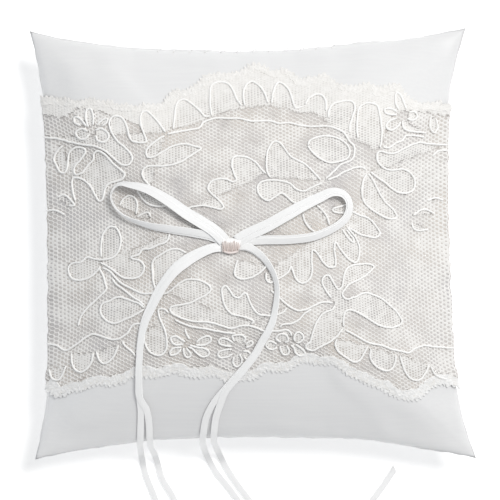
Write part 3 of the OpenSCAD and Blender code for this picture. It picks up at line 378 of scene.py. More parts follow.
class Shell:
    """Points and faces gathered for one piece."""

    def __init__(self):
        self.points, self.faces, self.count = [], [], 0

    def add(self, points, faces):
        self.points.append(np.asarray(points).reshape(-1, 3))
        self.faces += [[i + self.count for i in face] for face in faces]
        self.count += len(self.points[-1])
        return self


def make_piece(name, shell, material, nodes=()):
    """A mesh object from a shell in mm, riding on the pillow and standing for the named CAD nodes."""
    mesh = bpy.data.meshes.new(name)
    mesh.from_pydata((np.concatenate(shell.points) * MM).tolist(), [], shell.faces)
    mesh.update()
    mesh.shade_smooth()
    mesh.materials.append(material)
    piece = add_object(name, mesh)
    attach(piece, "root")
    if nodes:
        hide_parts(*nodes)
    return piece


def mark(piece, values):
    """Stores one value a point for the piece's paint."""
    layer = piece.data.attributes.new(MARK, "FLOAT", "POINT")
    layer.data.foreach_set("value", np.asarray(values, float).ravel())


def grid_quads(rows, columns, flip=False):
    """Faces of a grid of points stored row by row."""
    j, i = np.mgrid[0:rows - 1, 0:columns - 1]
    a = (j * columns + i).ravel()
    quads = np.stack([a, a + 1, a + columns + 1, a + columns], axis=1)
    return (quads[:, ::-1] if flip else quads).tolist()


def tube_quads(rings, sides):
    """Faces of a tube of rings, with flat ends."""
    i, k = np.mgrid[0:rings - 1, 0:sides]
    a = (i * sides + k).ravel()
    b = (i * sides + (k + 1) % sides).ravel()
    quads = np.stack([a, b, b + sides, a + sides], axis=1).tolist()
    last = (rings - 1) * sides
    return quads + [list(range(sides))[::-1], list(range(last, last + sides))]


def smooth_line(points, step):
    """A smooth curve through the given points, cut into pieces about step long."""
    points = np.array(points, float)
    padded = np.concatenate([[2 * points[0] - points[1]], points, [2 * points[-1] - points[-2]]])
    parts = []
    for a, b, c, d in zip(padded, padded[1:], padded[2:], padded[3:]):
        count = max(2, round(float(np.linalg.norm((c - b)[:2])) / step))
        t = np.arange(count)[:, None] / count
        parts.append(b + 0.5 * t * (c - a + t * (2 * a - 5 * b + 4 * c - d + t * (3 * (b - c) + d - a))))
    return np.concatenate(parts + [points[-1:]])


def distance_along(line):
    """How far each point of a line is from its start, measured along it."""
    return np.concatenate([[0], np.cumsum(np.linalg.norm(np.diff(line, axis=0), axis=1))])


def tube(path, up, radius, sides, twist=None):
    """A round cord along path, with tapered ends. With twist, in radians a step, it is two plies wound
    together."""
    ply_relief, taper = 0.17, 0.5
    ahead = unit(np.gradient(path, axis=0))
    beside = unit(np.cross(up, ahead))
    above = np.cross(ahead, beside)
    angle = np.arange(sides) * 2 * math.pi / sides
    size = np.full((len(path), sides), float(radius))
    if twist is not None:
        size *= 1 + ply_relief * np.cos(2 * (angle - twist * np.arange(len(path))[:, None]))
    size[[0, -1]] *= taper
    ring = beside[:, None] * np.cos(angle)[:, None] + above[:, None] * np.sin(angle)[:, None]
    return path[:, None] + ring * size[..., None], tube_quads(len(path), sides)


# ---------- the stuffed shape, with its folds ----------

SIM_CELLS = 72
SIM_STEPS = 20


def panel_grid(cells):
    """u and v of a square grid over a panel."""
    ticks = np.linspace(-1, 1, cells + 1)
    return np.meshgrid(ticks, ticks)


def blown_up(points, faces, seam):
    """Cloth simulation of a closed bag with pressure inside and no gravity, which doesn't move at the
    points numbered in seam. Returns its points, in mm."""
    mesh = bpy.data.meshes.new("cloth")
    mesh.from_pydata((points * MM).tolist(), [], faces)
    cloth = add_object("cloth", mesh)
    cloth.vertex_groups.new(name="seam").add(seam, 1.0, "REPLACE")
    settings = cloth.modifiers.new("cloth", "CLOTH").settings
    settings.quality = 6
    settings.use_pressure = True
    settings.uniform_pressure_force = 4
    settings.effector_weights.gravity = 0
    settings.shrink_min = -0.04         # cut 4% larger than it starts, which makes the folds
    settings.bending_stiffness = 0.05
    settings.vertex_group_mass = "seam"
    for step in range(1, SIM_STEPS + 1):
        bpy.context.scene.frame_set(step)
    shaped = cloth.evaluated_get(bpy.context.evaluated_depsgraph_get())
    moved = np.empty(len(points) * 3)
    shaped.data.vertices.foreach_get("co", moved)
    bpy.context.scene.frame_set(1)
    bpy.data.objects.remove(cloth)
    bpy.data.meshes.remove(mesh)
    return moved.reshape(-1, 3) / MM


def swollen_cloth():
    """How far the folds of the stuffed cover move each grid point of its front and of its back, in mm.
    They fade out within a few mm of the seam."""
    u, v = panel_grid(SIM_CELLS)
    middle, shrink, fade_width = np.array([0, 0, SEAM_Z]), np.array([1, 1, 0.95]), 4
    front = middle + (plain_front(u, v) - middle) * shrink
    back = middle + (plain_back(u, v) - middle) * shrink
    number = np.arange(u.size).reshape(u.shape)
    outermost = np.maximum(np.abs(u), np.abs(v))
    inside = outermost < 1
    below = number.copy()
    below[inside] = u.size + np.arange(inside.sum())
    quads = grid_quads(*u.shape)
    faces = quads + [[int(below.flat[k]) for k in quad[::-1]] for quad in quads]
    seam = [int(k) for k in number[~inside]]
    moved = blown_up(np.concatenate([front.reshape(-1, 3), back[inside]]), faces, seam)
    fade = 1 - np.exp(-(CLOTH * (1 - outermost) / fade_width) ** 2)[..., None]
    return (fade * folds(moved[number] - plain_front(u, v)),
            fade * folds(moved[below] - plain_back(u, v)))


def folds(move):
    """The folds in the cloth's movement, without most of its general swelling or its finest crumples."""
    fine, broad, swelling_kept = 3, 70, 0.25
    swelling = blurred(move, broad)
    return capped(blurred(move, fine) - swelling, 1.6) + swelling_kept * capped(swelling, 4.0)


def blurred(grid, passes):
    """The grid blurred by so many passes over its neighbours."""
    for _ in range(passes):
        for axis in (0, 1):
            g = np.moveaxis(grid, axis, 0)
            g = np.concatenate([g[:1], g, g[-1:]])
            grid = np.moveaxis((g[:-2] + 2 * g[1:-1] + g[2:]) / 4, 0, axis)
    return grid


def capped(move, most):
    """The same movement, but nowhere more than most, in mm."""
    size = np.linalg.norm(move, axis=-1, keepdims=True)
    return move / (1 + size / most)


def refine(grid):
    """The grid with twice the squares, smoothed as a subdivision surface is."""
    for axis in (0, 1):
        coarse = np.moveaxis(grid, axis, 0)
        fine = np.empty((2 * len(coarse) - 1,) + coarse.shape[1:])
        fine[::2] = coarse
        fine[1::2] = (coarse[1:] + coarse[:-1]) / 2
        fine[1:-1] = (fine[:-2] + 2 * fine[1:-1] + fine[2:]) / 4
        grid = np.moveaxis(fine, 0, axis)
    return grid


def read_grid(grid, u, v):
    """The grid's value at u, v, between its points."""
    last = len(grid) - 1
    x = np.clip((u + 1) / 2 * last, 0, last - 1e-6)
    y = np.clip((v + 1) / 2 * last, 0, last - 1e-6)
    i, j = x.astype(int), y.astype(int)
    s, t = (x - i)[..., None], (y - j)[..., None]
    low = grid[j, i] * (1 - s) + grid[j, i + 1] * s
    high = grid[j + 1, i] * (1 - s) + grid[j + 1, i + 1] * s
    return low * (1 - t) + high * t


SWELL_FRONT, SWELL_BACK = (refine(grid) for grid in swollen_cloth())


def front_of(u, v):
    """The front panel with its folds and gathers."""
    bump = pucker(u, v, 11)[..., None] * np.array([0, 0, 1])
    return plain_front(u, v) + read_grid(SWELL_FRONT, u, v) + bump


def back_of(u, v):
    """The same for the back."""
    bump = pucker(u, v, 23)[..., None] * np.array([0, 0, -1])
    place = plain_back(u, v) + read_grid(SWELL_BACK, u, v) + bump
    place[..., 2] = soft_floor(place[..., 2])
    return place


def on_front(p, q, lift=0.0):
    """Points on the front panel at the places p, q, lifted off it, and the directions off the cloth."""
    u, v = np.clip(np.asarray(p) / CLOTH, -1, 1), np.clip(np.asarray(q) / CLOTH, -1, 1)
    reach, limit = 0.008, 0.985     # the direction is taken over that reach, and not nearer the seams
    a, b = np.clip(u, -limit, limit), np.clip(v, -limit, limit)
    across = front_of(a + reach, b) - front_of(a - reach, b)
    along = front_of(a, b + reach) - front_of(a, b - reach)
    off = unit(np.cross(across, along))
    return front_of(u, v) + np.asarray(lift)[..., None] * off, off


# ---------- materials ----------

class Paint:
    """A procedural material: its colour is tinted by a noise or by the mesh's own value, and layers of
    noise give it relief. Grains and depths are in mm."""

    def __init__(self, name, colour, roughness, sheen=0.0):
        self.material = bpy.data.materials.new(name)
        self.material.use_nodes = True
        self.tree = self.material.node_tree
        self.shader = self.tree.nodes["Principled BSDF"]
        self.coords = self.tree.nodes.new("ShaderNodeTexCoord").outputs["Object"]
        self.colour = colour
        self.normal = None
        self.wire(self.shader, Roughness=roughness, Sheen_Weight=sheen, Sheen_Roughness=0.4,
                  Specular_IOR_Level=0.35)

    def wire(self, node, **inputs):
        """Links each named input to a socket, or sets it to a value. A _ in a name stands for a space."""
        for name, value in inputs.items():
            socket = node.inputs[name.replace("_", " ")]
            if isinstance(value, bpy.types.NodeSocket):
                self.tree.links.new(value, socket)
            else:
                socket.default_value = value

    def add(self, kind, **inputs):
        """A new shader node, wired up."""
        node = self.tree.nodes.new("ShaderNode" + kind)
        self.wire(node, **inputs)
        return node

    def noise(self, grain, detail=2.0):
        """Noise whose features are grain across: one number, or one for each of x, y and z."""
        scale = [1 / (g * MM) for g in (grain if isinstance(grain, tuple) else (grain,) * 3)]
        stretch = self.add("Mapping", Vector=self.coords, Scale=scale)
        noise = self.add("TexNoise", Vector=stretch.outputs["Vector"], Scale=1.0, Detail=detail)
        return noise.outputs["Fac"]

    def translucent(self, share, reach):
        """Lets that share of the light travel up to reach through the fibres."""
        self.wire(self.shader, Subsurface_Weight=share, Subsurface_Radius=(1, 1, 1),
                  Subsurface_Scale=reach * MM)
        return self

    def mark(self):
        """The value that the mesh carries."""
        place = self.add("Attribute")
        place.attribute_name = MARK
        return place.outputs["Fac"]

    def sheer(self, source, share):
        """Only that share of the light is stopped where source is 0, and all of it where source is 1."""
        spread = self.add("MapRange", Value=source, To_Min=share)
        self.wire(self.shader, Alpha=spread.outputs["Result"])
        return self

    def tint(self, source, low, high=(1, 1, 1)):
        """Colour runs from low to high times the base colour, as source goes from 0.3 to 0.7."""
        ramp = self.add("ValToRGB", Fac=source)
        for stop, place, level in zip(ramp.color_ramp.elements, (0.3, 0.7), (low, high)):
            stop.position = place
            stop.color = [c * s for c, s in zip(self.colour, level)] + [1]
        self.wire(self.shader, Base_Color=ramp.outputs["Color"])
        return self

    def bump(self, source, depth):
        """Relief of that depth, on top of what is there."""
        node = self.add("Bump", Height=source, Distance=depth * MM)
        if self.normal is not None:
            self.wire(node, Normal=self.normal)
        self.normal = node.outputs["Normal"]
        self.wire(self.shader, Normal=self.normal)
        return self


def make_materials():
    """The materials, by short name."""
    satin = Paint("satin", (0.775, 0.775, 0.778), 0.42, 0.15)
    satin.tint(satin.noise((26, 1.3, 1.3), 4), (0.975, 0.975, 0.98))
    satin.bump(satin.noise((14, 1.1, 1.1), 3), 0.04).bump(satin.noise(0.5), 0.015)
    # painted shade: a darker, warm sheet under the net that stands in for the net's shadow on the satin
    net_shade_sheet = Paint("lace_painted_shade_sheet", (0.6, 0.57, 0.545), 0.9)
    net_shade_sheet.tint(net_shade_sheet.noise(26, 5), (0.93, 0.95, 1.0), (1.05, 1.03, 1.0))
    net_shade_sheet.bump(net_shade_sheet.noise(0.7, 1), 0.15)
    lace = Paint("lace_thread", (0.865, 0.852, 0.836), 0.75, 0.1)
    lace.tint(lace.noise(2.5, 4), (0.93, 0.925, 0.915)).bump(lace.noise(0.35), 0.12)
    edging = Paint("lace_edging", (0.9, 0.897, 0.893), 0.75, 0.1)
    edging.tint(edging.noise(1.8, 4), (0.88, 0.88, 0.88)).bump(edging.noise(0.35), 0.12)
    gimp = Paint("gimp_cord", (0.965, 0.96, 0.95), 0.6, 0.25)
    gimp.tint(gimp.noise(1.5, 3), (0.96, 0.955, 0.95)).bump(gimp.noise(0.25), 0.08)
    ribbon = Paint("ribbon_satin", (0.99, 0.99, 0.99), 0.34, 0.3)
    ribbon.translucent(0.15, 1.0).sheer(ribbon.mark(), 0.84)
    # painted highlight and painted light: lighter at the edges and up on the pillow, darker in the middle on
    # the table
    ribbon.tint(ribbon.mark(), (0.93, 0.93, 0.935)).bump(ribbon.noise(0.3), 0.02)
    thread = Paint("sewing_thread", (0.9, 0.9, 0.89), 0.65, 0.1)
    thread.tint(thread.noise(0.6), (0.93, 0.93, 0.93)).bump(thread.noise(0.2), 0.06)
    knot = Paint("knot_satin", (0.96, 0.95, 0.945), 0.35, 0.2)
    # painted shade: the wrap is white on its side towards the pillow's top edge and rose-brown towards its
    # bottom edge
    knot.tint(knot.mark(), (0.77, 0.68, 0.645)).bump(knot.noise(0.3), 0.02)
    # painted shade: a pinkish tone on the white fold under the knot, standing in for the warm shade there
    painted_fold_shade = Paint("knot_fold_satin", (0.86, 0.77, 0.74), 0.35, 0.2)
    painted_fold_shade.tint(painted_fold_shade.noise(1.2, 3), (0.95, 0.95, 0.95)).bump(painted_fold_shade.noise(0.3), 0.02)
    # the tack stitches are real thread; their brownish rose colour is painted shade on the knot's lower side
    tack = Paint("tack_thread", (0.76, 0.675, 0.64), 0.6, 0.1)
    tack.tint(tack.noise(0.6), (0.85, 0.85, 0.85), (1.05, 1.05, 1.05)).bump(tack.noise(0.2), 0.06)
    fibre = Paint("polyester_fibre", (0.9, 0.9, 0.9), 1.0, 0.3)
    fibre.tint(fibre.noise(4, 6), (0.9, 0.9, 0.9)).bump(fibre.noise(1.2, 6), 0.6)
    kinds = dict(satin=satin, net_shade_sheet=net_shade_sheet, lace=lace, edging=edging, gimp=gimp, ribbon=ribbon,
                 knot=knot, painted_fold_shade=painted_fold_shade, thread=thread, tack=tack, fibre=fibre)
    return {name: paint.material for name, paint in kinds.items()}


# ---------- cushion ----------

PANEL_CELLS = 144


def border(cells):
    """Numbers of a square grid's border points, anticlockwise from the first."""
    row = cells + 1
    low, right = np.arange(cells), np.arange(cells) * row + cells
    high, left = cells * row + np.arange(cells, 0, -1), np.arange(cells, 0, -1) * row
    return np.concatenate([low, right, high, left])


def rim_shift(count):
    """The seam's small waves, in mm outwards, at count places round the pillow."""
    around = np.arange(count) / count * 64
    return 0.35 * line_noise(around * 3, 0, 5) + 0.6 * line_noise(around * 0.5, 0, 6)


def make_panel(name, shape, toward, material, node):
    """A satin panel whose rim turns in to the seam. toward is +1 for the front and -1 for the back."""
    rim_rise = 0.3
    allowance = (0.35, 0.08), (1.4, 0.05), (3.0, 0.05)      # mm in from the rim, and mm off the seam
    u, v = panel_grid(PANEL_CELLS)
    points = shape(u, v).reshape(-1, 3)
    rim = border(PANEL_CELLS)
    middle = points[rim].mean(axis=0)
    wave = rim_shift(len(rim))[:, None]
    points[rim, :2] += unit(points[rim] - middle)[:, :2] * wave
    points[rim, 2] = SEAM_Z + rim_rise * toward
    shell = Shell().add(points, grid_quads(*u.shape, flip=toward < 0))
    inward = unit((middle - points[rim]) * [1, 1, 0])
    turned = [points[rim]]
    for inset, rise in allowance:
        turned.append(points[rim] + inward * inset)
        turned[-1][:, 2] = SEAM_Z + rise * toward
    k = np.arange(len(rim))
    after = np.roll(k, -1)
    quads = np.stack([k, len(rim) + k, len(rim) + after, after], axis=1)[:, ::toward].tolist()
    for outer, inner in zip(turned, turned[1:]):
        shell.add(np.concatenate([outer, inner]), quads)
    piece = make_piece(name, shell, material, [node])
    weld(piece)


def weld(piece):
    """Joins the points that lie in the same place."""
    mesh = bmesh.new()
    mesh.from_mesh(piece.data)
    bmesh.ops.remove_doubles(mesh, verts=mesh.verts, dist=1e-6)
    mesh.to_mesh(piece.data)
    mesh.free()


def make_filling(material):
    """The fibre inside, a little smaller than the cover."""
    cells, inset, scale, lump = 48, 3.0, 0.965, 0.8
    u, v = panel_grid(cells)
    lumps = value_noise(u * 9, v * 9, 31)[..., None] * np.array([0, 0, lump])
    middle = np.array([0, 0, SEAM_Z])
    keep = np.array([scale, scale, 1 - inset / CROWN])
    upper = middle + (plain_front(u, v) - middle) * keep - lumps
    lower = middle + (plain_back(u, v) - middle) * keep + lumps
    edge = np.maximum(np.abs(u), np.abs(v)) == 1
    upper[edge, 2] = lower[edge, 2] = SEAM_Z
    shell = Shell().add(upper, grid_quads(*u.shape)).add(lower, grid_quads(*u.shape, flip=True))
    piece = make_piece("fibre_filling", shell, material, ["filling"])
    weld(piece)


def make_seam_stitches(material):
    """Lockstitches down in the groove between the panels, one side of the pillow after another."""
    shell = Shell()
    inset, pitch, long, clear = 1.1, 2.8, 2.2, 2
    ticks = np.linspace(-1, 1, 400)
    u, v = ticks, np.full_like(ticks, -1)
    for _ in range(4):
        line = np.stack(plan(u, v), axis=1)
        along = distance_along(line)
        count = int((along[-1] - 2 * clear) / pitch)
        for start in clear + np.arange(count) * pitch:
            at = start + np.linspace(0, long, 4)
            x, y = (np.interp(at, along, line[:, k]) for k in (0, 1))
            path = np.stack([x, y, np.full_like(x, SEAM_Z)], axis=1)
            ahead = unit(path[-1] - path[0])
            path += np.array([-ahead[1], ahead[0], 0]) * inset
            shell.add(*tube(path, np.array([0, 0, 1]), THREAD_D / 2, 5))
        u, v = -v, u
    make_piece("seam_stitches", shell, material, ["seam_thread"])


def make_closing_stitches(material):
    """Hand stitches over the edge, across the gap in the top seam through which it was stuffed."""
    shell = Shell()
    count, gap, reach, slant = 12, 0.4, 1.7, 0.012
    sunk, raised_front, raised_back = [0, 0, 0.6], [0, 0.2, 0.35], [0, 0.2, -0.35]
    v = 1 - reach / CLOTH
    for place in np.linspace(-gap, gap, count):
        front, back = front_of(place - slant, v), back_of(place + slant, v)
        x, y = plan(place, 1.0)
        over = np.array([x, y + 0.5, SEAM_Z])
        path = smooth_line([front - sunk, front + raised_front, over, back + raised_back, back + sunk], 0.5)
        shell.add(*tube(path, np.array([1, 0, 0]), THREAD_D / 2, 6))
    make_piece("closing_stitches_visible", shell, material, ["closing_stitches"])


# ---------- lace ----------

def edge_height(line, p):
    """The q of a lace edge at p."""
    smooth = smooth_line(line, 1.0)
    return np.interp(p, smooth[:, 0], smooth[:, 1])


def on_lace(p, q, lift):
    """Points on the front panel like on_front, but puffed up a little where the lace meets the seams."""
    inward = np.maximum(CLOTH - np.abs(p), 0)
    near = np.exp(-inward / 4) * np.minimum(inward, 1)      # fades in 4 mm, and is 0 at the seam itself
    up = 1.2 + 0.7 * line_noise(q / 9, 3.5, 49)
    out = 0.9 + 0.9 * line_noise(q / 2.6, 1.5, 50)
    points, off = on_front(p, q, lift + up * near)
    points[..., 0] += np.sign(p) * out * near
    return points, off


def inside_any(p, q, outlines):
    """Whether each place is enclosed by one of the outlines, each closed from its end to its start."""
    found = np.zeros(p.shape, bool)
    for line in outlines:
        ring = smooth_line(line, 1.5)[:, :2]
        crossed = np.zeros(p.shape, bool)
        for (p0, q0), (p1, q1) in zip(ring, np.roll(ring, -1, axis=0)):
            if q0 != q1:
                crossed ^= ((q0 > q) != (q1 > q)) & (p < (p1 - p0) * (q - q0) / (q1 - q0) + p0)
        found |= crossed
    return found


def merged(points):
    """The different points, and which of them each point is. Points count as one within 0.02 mm."""
    keys, index = np.unique(np.round(points * 50).astype(int), axis=0, return_inverse=True)
    return keys / 50, index.reshape(-1)


CLOSE_TOP = [[-105, 64], [-92, 64], [-84, 69], [-68, 66], [-55, 61], [-44, 58], [-36, 62], [-20, 68],
    [-10, 71.5], [0, 73], [12, 73.5], [24, 70], [34, 68], [40, 62], [50, 54], [58, 50], [66, 48],
    [72, 62], [80, 66], [105, 62]]


def dense(p, q):
    """Where the lace is worked close: inside the leaves, and along both edges."""
    low = 5 + 1.5 * line_noise(p / 5, 1.5, 53)
    edges = (q > edge_height(CLOSE_TOP, p)) | (q < edge_height(NET_BOTTOM, p) + low)
    return inside_any(p, q, MOTIFS) | edges


def meshes(shell, p, q, ray, hole, slant, thin):
    """Openings centred at p, q, each a ring of thread between its outline, ray, and a hole. The hole is the
    outline times hole, drawn out by slant along one diagonal. The threads' crests are at NET_LIFT, and
    their sides are thin mm lower. Returns the threads' area on the cloth, in mm2."""
    centre = np.stack([p, q], axis=1)[:, None]
    outer, index = merged((centre + ray).reshape(-1, 2))
    outer_p, outer_q = outer.T
    waver = [0.17 * value_noise(outer_p * 1.7, outer_q * 1.7, seed) for seed in (45, 46)]
    crest_lift = NET_LIFT + 0.1 * value_noise(outer_p * 1.3, outer_q * 1.3, 47)
    crest, _ = on_lace(outer_p + waver[0], outer_q + waver[1], crest_lift)
    diagonal = np.array([-0.87, 0.5])
    drawn = ray + slant * ((ray @ diagonal)[:, None] * diagonal)
    inner = (centre + hole[:, None, None] * drawn).reshape(-1, 2)
    rim, _ = on_lace(inner[:, 0], inner[:, 1], np.full(len(inner), NET_LIFT - thin))
    a = index.reshape(-1, 6)
    b = np.roll(a, -1, axis=1)
    c = len(outer) + np.arange(len(inner)).reshape(-1, 6)
    d = np.roll(c, -1, axis=1)
    shell.add(np.concatenate([crest, rim]), np.stack([a, b, d, c], axis=-1).reshape(-1, 4).tolist())
    size = np.abs(np.cross(ray, np.roll(ray, -1, axis=0)).sum() / 2)
    return float((1 - hole ** 2 * (1 + slant)).sum() * size)


def chosen(p, q, above, below, close):
    """Those places that are on the lace, more than above and below from its edges, and are worked close or
    else open."""
    keep = ((np.abs(p) < CLOTH - 0.4) & (q < edge_height(NET_TOP, p) - above)
            & (q > edge_height(NET_BOTTOM, p) + below))
    p, q = p[keep], q[keep]
    keep = dense(p, q) == close
    return p[keep], q[keep]


def net_part(shell):
    """The open ground: six-sided meshes of thread, pulled a little towards one diagonal. Their holes are
    smaller in patches, and where the net is gathered towards the side seams."""
    radius = NET_PITCH / math.sqrt(3)
    i, j = np.mgrid[-62:63, -54:60]     # enough to cover the whole band
    p, q = chosen(i * 1.5 * radius, (j + (i % 2) / 2) * NET_PITCH, 1, 1.5, close=False)
    angle = np.arange(6) * math.pi / 3
    ray = radius * np.stack([np.cos(angle), np.sin(angle)], axis=1)
    patch = value_noise((p + 0.6 * q) / 9, (q - 0.6 * p) / 9, 41) + 0.5 * value_noise(p / 2.2, q / 2.2, 43)
    gathered = np.clip((np.abs(p) - 50) / 45, 0, 1) * np.where(p > 0, 0.25, 0.12)
    close_patch, open_patch = np.clip(patch - 0.05, 0, 0.9), np.clip(-patch - 0.15, 0, 0.7)
    hole = 0.67 - 0.3 * close_patch + 0.16 * open_patch
    hole *= 1 - gathered
    return meshes(shell, p, q, ray, hole, slant=0.3, thin=0.34)


def fill_part(shell):
    """The close parts: upright rows of stitches with small uneven slots between them, smaller still
    towards the lace's edges."""
    wide, tall = 1.55, 1.3
    j, i = np.mgrid[-64:78, -68:69]
    p, q = chosen(i * wide, (j + 0.5 * (i % 2)) * tall, 0.5, 0.5, close=True)
    ray = np.array([[-1, -1], [1, -1], [1, 0], [1, 1], [-1, 1], [-1, 0]]) * [wide / 2, tall / 2]
    patch = value_noise(p / 3, q / 3, 51) + 0.8 * value_noise(p / 1.2, q / 1.2, 52)
    above, below = edge_height(NET_TOP, p) - q, q - edge_height(NET_BOTTOM, p)
    rim = np.clip(np.minimum(above, 2.2 * below) / 20, 0.35, 1)
    hole = np.clip(0.43 - 0.22 * patch, 0.12, 0.62) * rim
    return meshes(shell, p, q, ray, hole, slant=0.0, thin=0.24)


def make_lace_ground(materials):
    """The lace itself, and behind it a darker, warm sheet of painted shade that shows through its openings
    where the net's shadow would fall on the satin. Returns each piece with its area in m2."""
    shell = Shell()
    area = net_part(shell) + fill_part(shell)
    ground = make_piece("lace_ground", shell, materials["lace"], ["lace_net"])
    side_gap, edge_gap, lift = 0.8, 1, 0.2
    p = np.linspace(-CLOTH + side_gap, CLOTH - side_gap, 131)
    low, high = edge_height(NET_BOTTOM, p) + edge_gap, edge_height(NET_TOP, p) - edge_gap
    q = low + (high - low) * np.linspace(0, 1, 91)[:, None]
    points, _ = on_lace(np.broadcast_to(p, q.shape), q, np.full(q.shape, lift))
    shell = Shell().add(points, grid_quads(*q.shape))
    # the darker sheet under the net is painted shade, standing in for the net's shadow
    net_shade_sheet = make_piece("lace_painted_shade_sheet", shell, materials["net_shade_sheet"])
    net_shade_area = float(np.mean(high - low)) * 2 * CLOTH
    return ground, area * MM ** 2, net_shade_sheet, net_shade_area * MM ** 2


def make_lace_edge(name, line, outward, material, node):
    """A finished edge: a band of close, uneven stitches that lies on the net and ends in small teeth, with
    tufts. outward is +1 for the upper edge and -1 for the lower, which is wider and less tufted."""
    tooth_pitch = 2.3
    line = smooth_line(line, 0.3)
    ahead = unit(np.gradient(line, axis=0))
    out = np.stack([-ahead[:, 1], ahead[:, 0]], axis=1) * outward
    along = distance_along(line)
    uneven = line_noise(along / tooth_pitch, 0.5, 67)
    tuft = (1.1 + 0.4 * outward) * line_noise(along / 4.5, 4.5, 69)
    tooth = (1.3 + 0.6 * uneven) * np.sin(math.pi * along / tooth_pitch + 0.9 * uneven) ** 2
    frayed = 0.5 * line_noise(along / 1.1, 0, 66)
    width = 4 - 0.6 * outward + 1.1 * line_noise(along / 4, 2.5, 68) + frayed
    share = np.concatenate([[0, 0], np.linspace(0.04, 1, 15), [1]])[:, None]
    reach = tooth + tuft - (tooth + tuft + width) * share
    place = line[None] + out[None] * reach[..., None]
    p, q = place[..., 0], place[..., 1]
    stitches, clumps = value_noise(p / 0.6, q / 0.6, 61), value_noise(p / 1.7, q / 1.7, 62)
    lift = 0.46 + 0.16 * share + 0.26 * stitches + 0.14 * clumps
    lift[[0, -1]] = 0.08        # both rims come down to the net
    points, _ = on_lace(p, q, lift)
    shell = Shell().add(points, grid_quads(*p.shape, flip=outward > 0))
    return make_piece(name, shell, material, [node])


def make_gimp(name, lines, seed, material, node):
    """The raised cord that draws the pattern, laid by hand: it wavers a little."""
    shell = Shell()
    for line in lines:
        p, q = smooth_line(line, 0.6).T
        waver = 0.14 * value_noise(p / 2.1, q / 2.1, seed)
        path, off = on_lace(p + waver, q - waver, NET_LIFT + 0.34 + 0.6 * waver)
        shell.add(*tube(path, off, GIMP_D / 2, 8, twist=1.1))
    return make_piece(name, shell, material, [node])


# ---------- ribbons ----------

def ribbon_path(on_cloth, beyond, side, rise):
    """The middle line of one ribbon, with the directions across, through and along it.
    on_cloth lists p, q, lift, roll in degrees; beyond lists x, y, z, roll on past the lower edge, and is
    empty for a loop. side moves the ribbon across its own width at each of so many even steps, and rise
    moves it through its thickness."""
    levelling = 12      # mm past the edge within which a tail turns level with the table
    route = smooth_line(on_cloth, 1.0)
    path, off = on_front(route[:, 0], route[:, 1], route[:, 2])
    roll = route[:, 3]
    up = off if beyond else np.broadcast_to([0.0, 0.0, 1.0], off.shape)
    if beyond:
        bridge = np.concatenate([np.concatenate([path[-1:], roll[-1:, None]], axis=1), beyond])
        rest = smooth_line(bridge, 1.0)[1:]
        level = np.clip(np.arange(len(rest)) / levelling, 0, 1)[:, None]
        turned = unit(off[-1] * (1 - level) + np.array([0, 0, 1]) * level)
        path, roll = np.concatenate([path, rest[:, :3]]), np.concatenate([roll, rest[:, 3]])
        up = np.concatenate([up, turned])
    ahead = unit(np.gradient(path, axis=0))
    beside = unit(np.cross(up, ahead))
    high = np.cross(ahead, beside)
    angle = np.radians(roll)[:, None]
    wide = beside * np.cos(angle) + high * np.sin(angle)
    thin = np.cross(ahead, wide)
    share = np.linspace(0, 1, len(path))
    apart = np.interp(share, np.linspace(0, 1, len(side)), side)[:, None]
    return path + wide * apart + thin * rise, wide, thin, ahead


def make_ribbon(name, on_cloth, beyond, side, rise, material, node):
    """A flat satin ribbon with a thicker woven edge. Its paint reads 1 at the edges (painted highlight), and
    a set share in between where it is up on the pillow and 0 on the table (painted light, lighter up on the
    pillow)."""
    across = np.array([-1, -0.94, -0.82, -0.4, 0, 0.4, 0.82, 0.94, 1.0])
    thick = np.array([0.6, 1.25, 0.75, 0.8, 0.8, 0.8, 0.75, 1.25, 0.6]) * RIBBON_T / 2
    crown, cut_slant = 0.16 * (1 - across ** 2), 0.5
    # painted light: how much lighter the middle is up on the pillow, more for the tails than for the loops
    painted_light_share = 0.72 if beyond else 0.52
    path, wide, thin, ahead = ribbon_path(on_cloth, beyond, side, rise)
    x = np.concatenate([across, across[::-1]]) * RIBBON_W / 2
    z = np.concatenate([crown + thick, (crown - thick)[::-1]])
    points = path[:, None] + wide[:, None] * x[:, None] + thin[:, None] * z[:, None]
    if beyond:
        points[-1] += ahead[-1] * (x * cut_slant)[:, None]
    shell = Shell().add(points, [face[::-1] for face in tube_quads(len(path), len(x))])
    piece = make_piece(name, shell, material, [node])
    # painted highlight along both edges, and painted light that fades out as the ribbon comes down to the
    # table
    painted_edge_highlight = np.clip((np.abs(x) * 2 / RIBBON_W - 0.8) / 0.1, 0, 1)
    raised = np.clip(path[:, 2] / 5 - 0.5, 0, 1)
    mark(piece, np.maximum(painted_edge_highlight[None], (painted_light_share * raised)[:, None]))


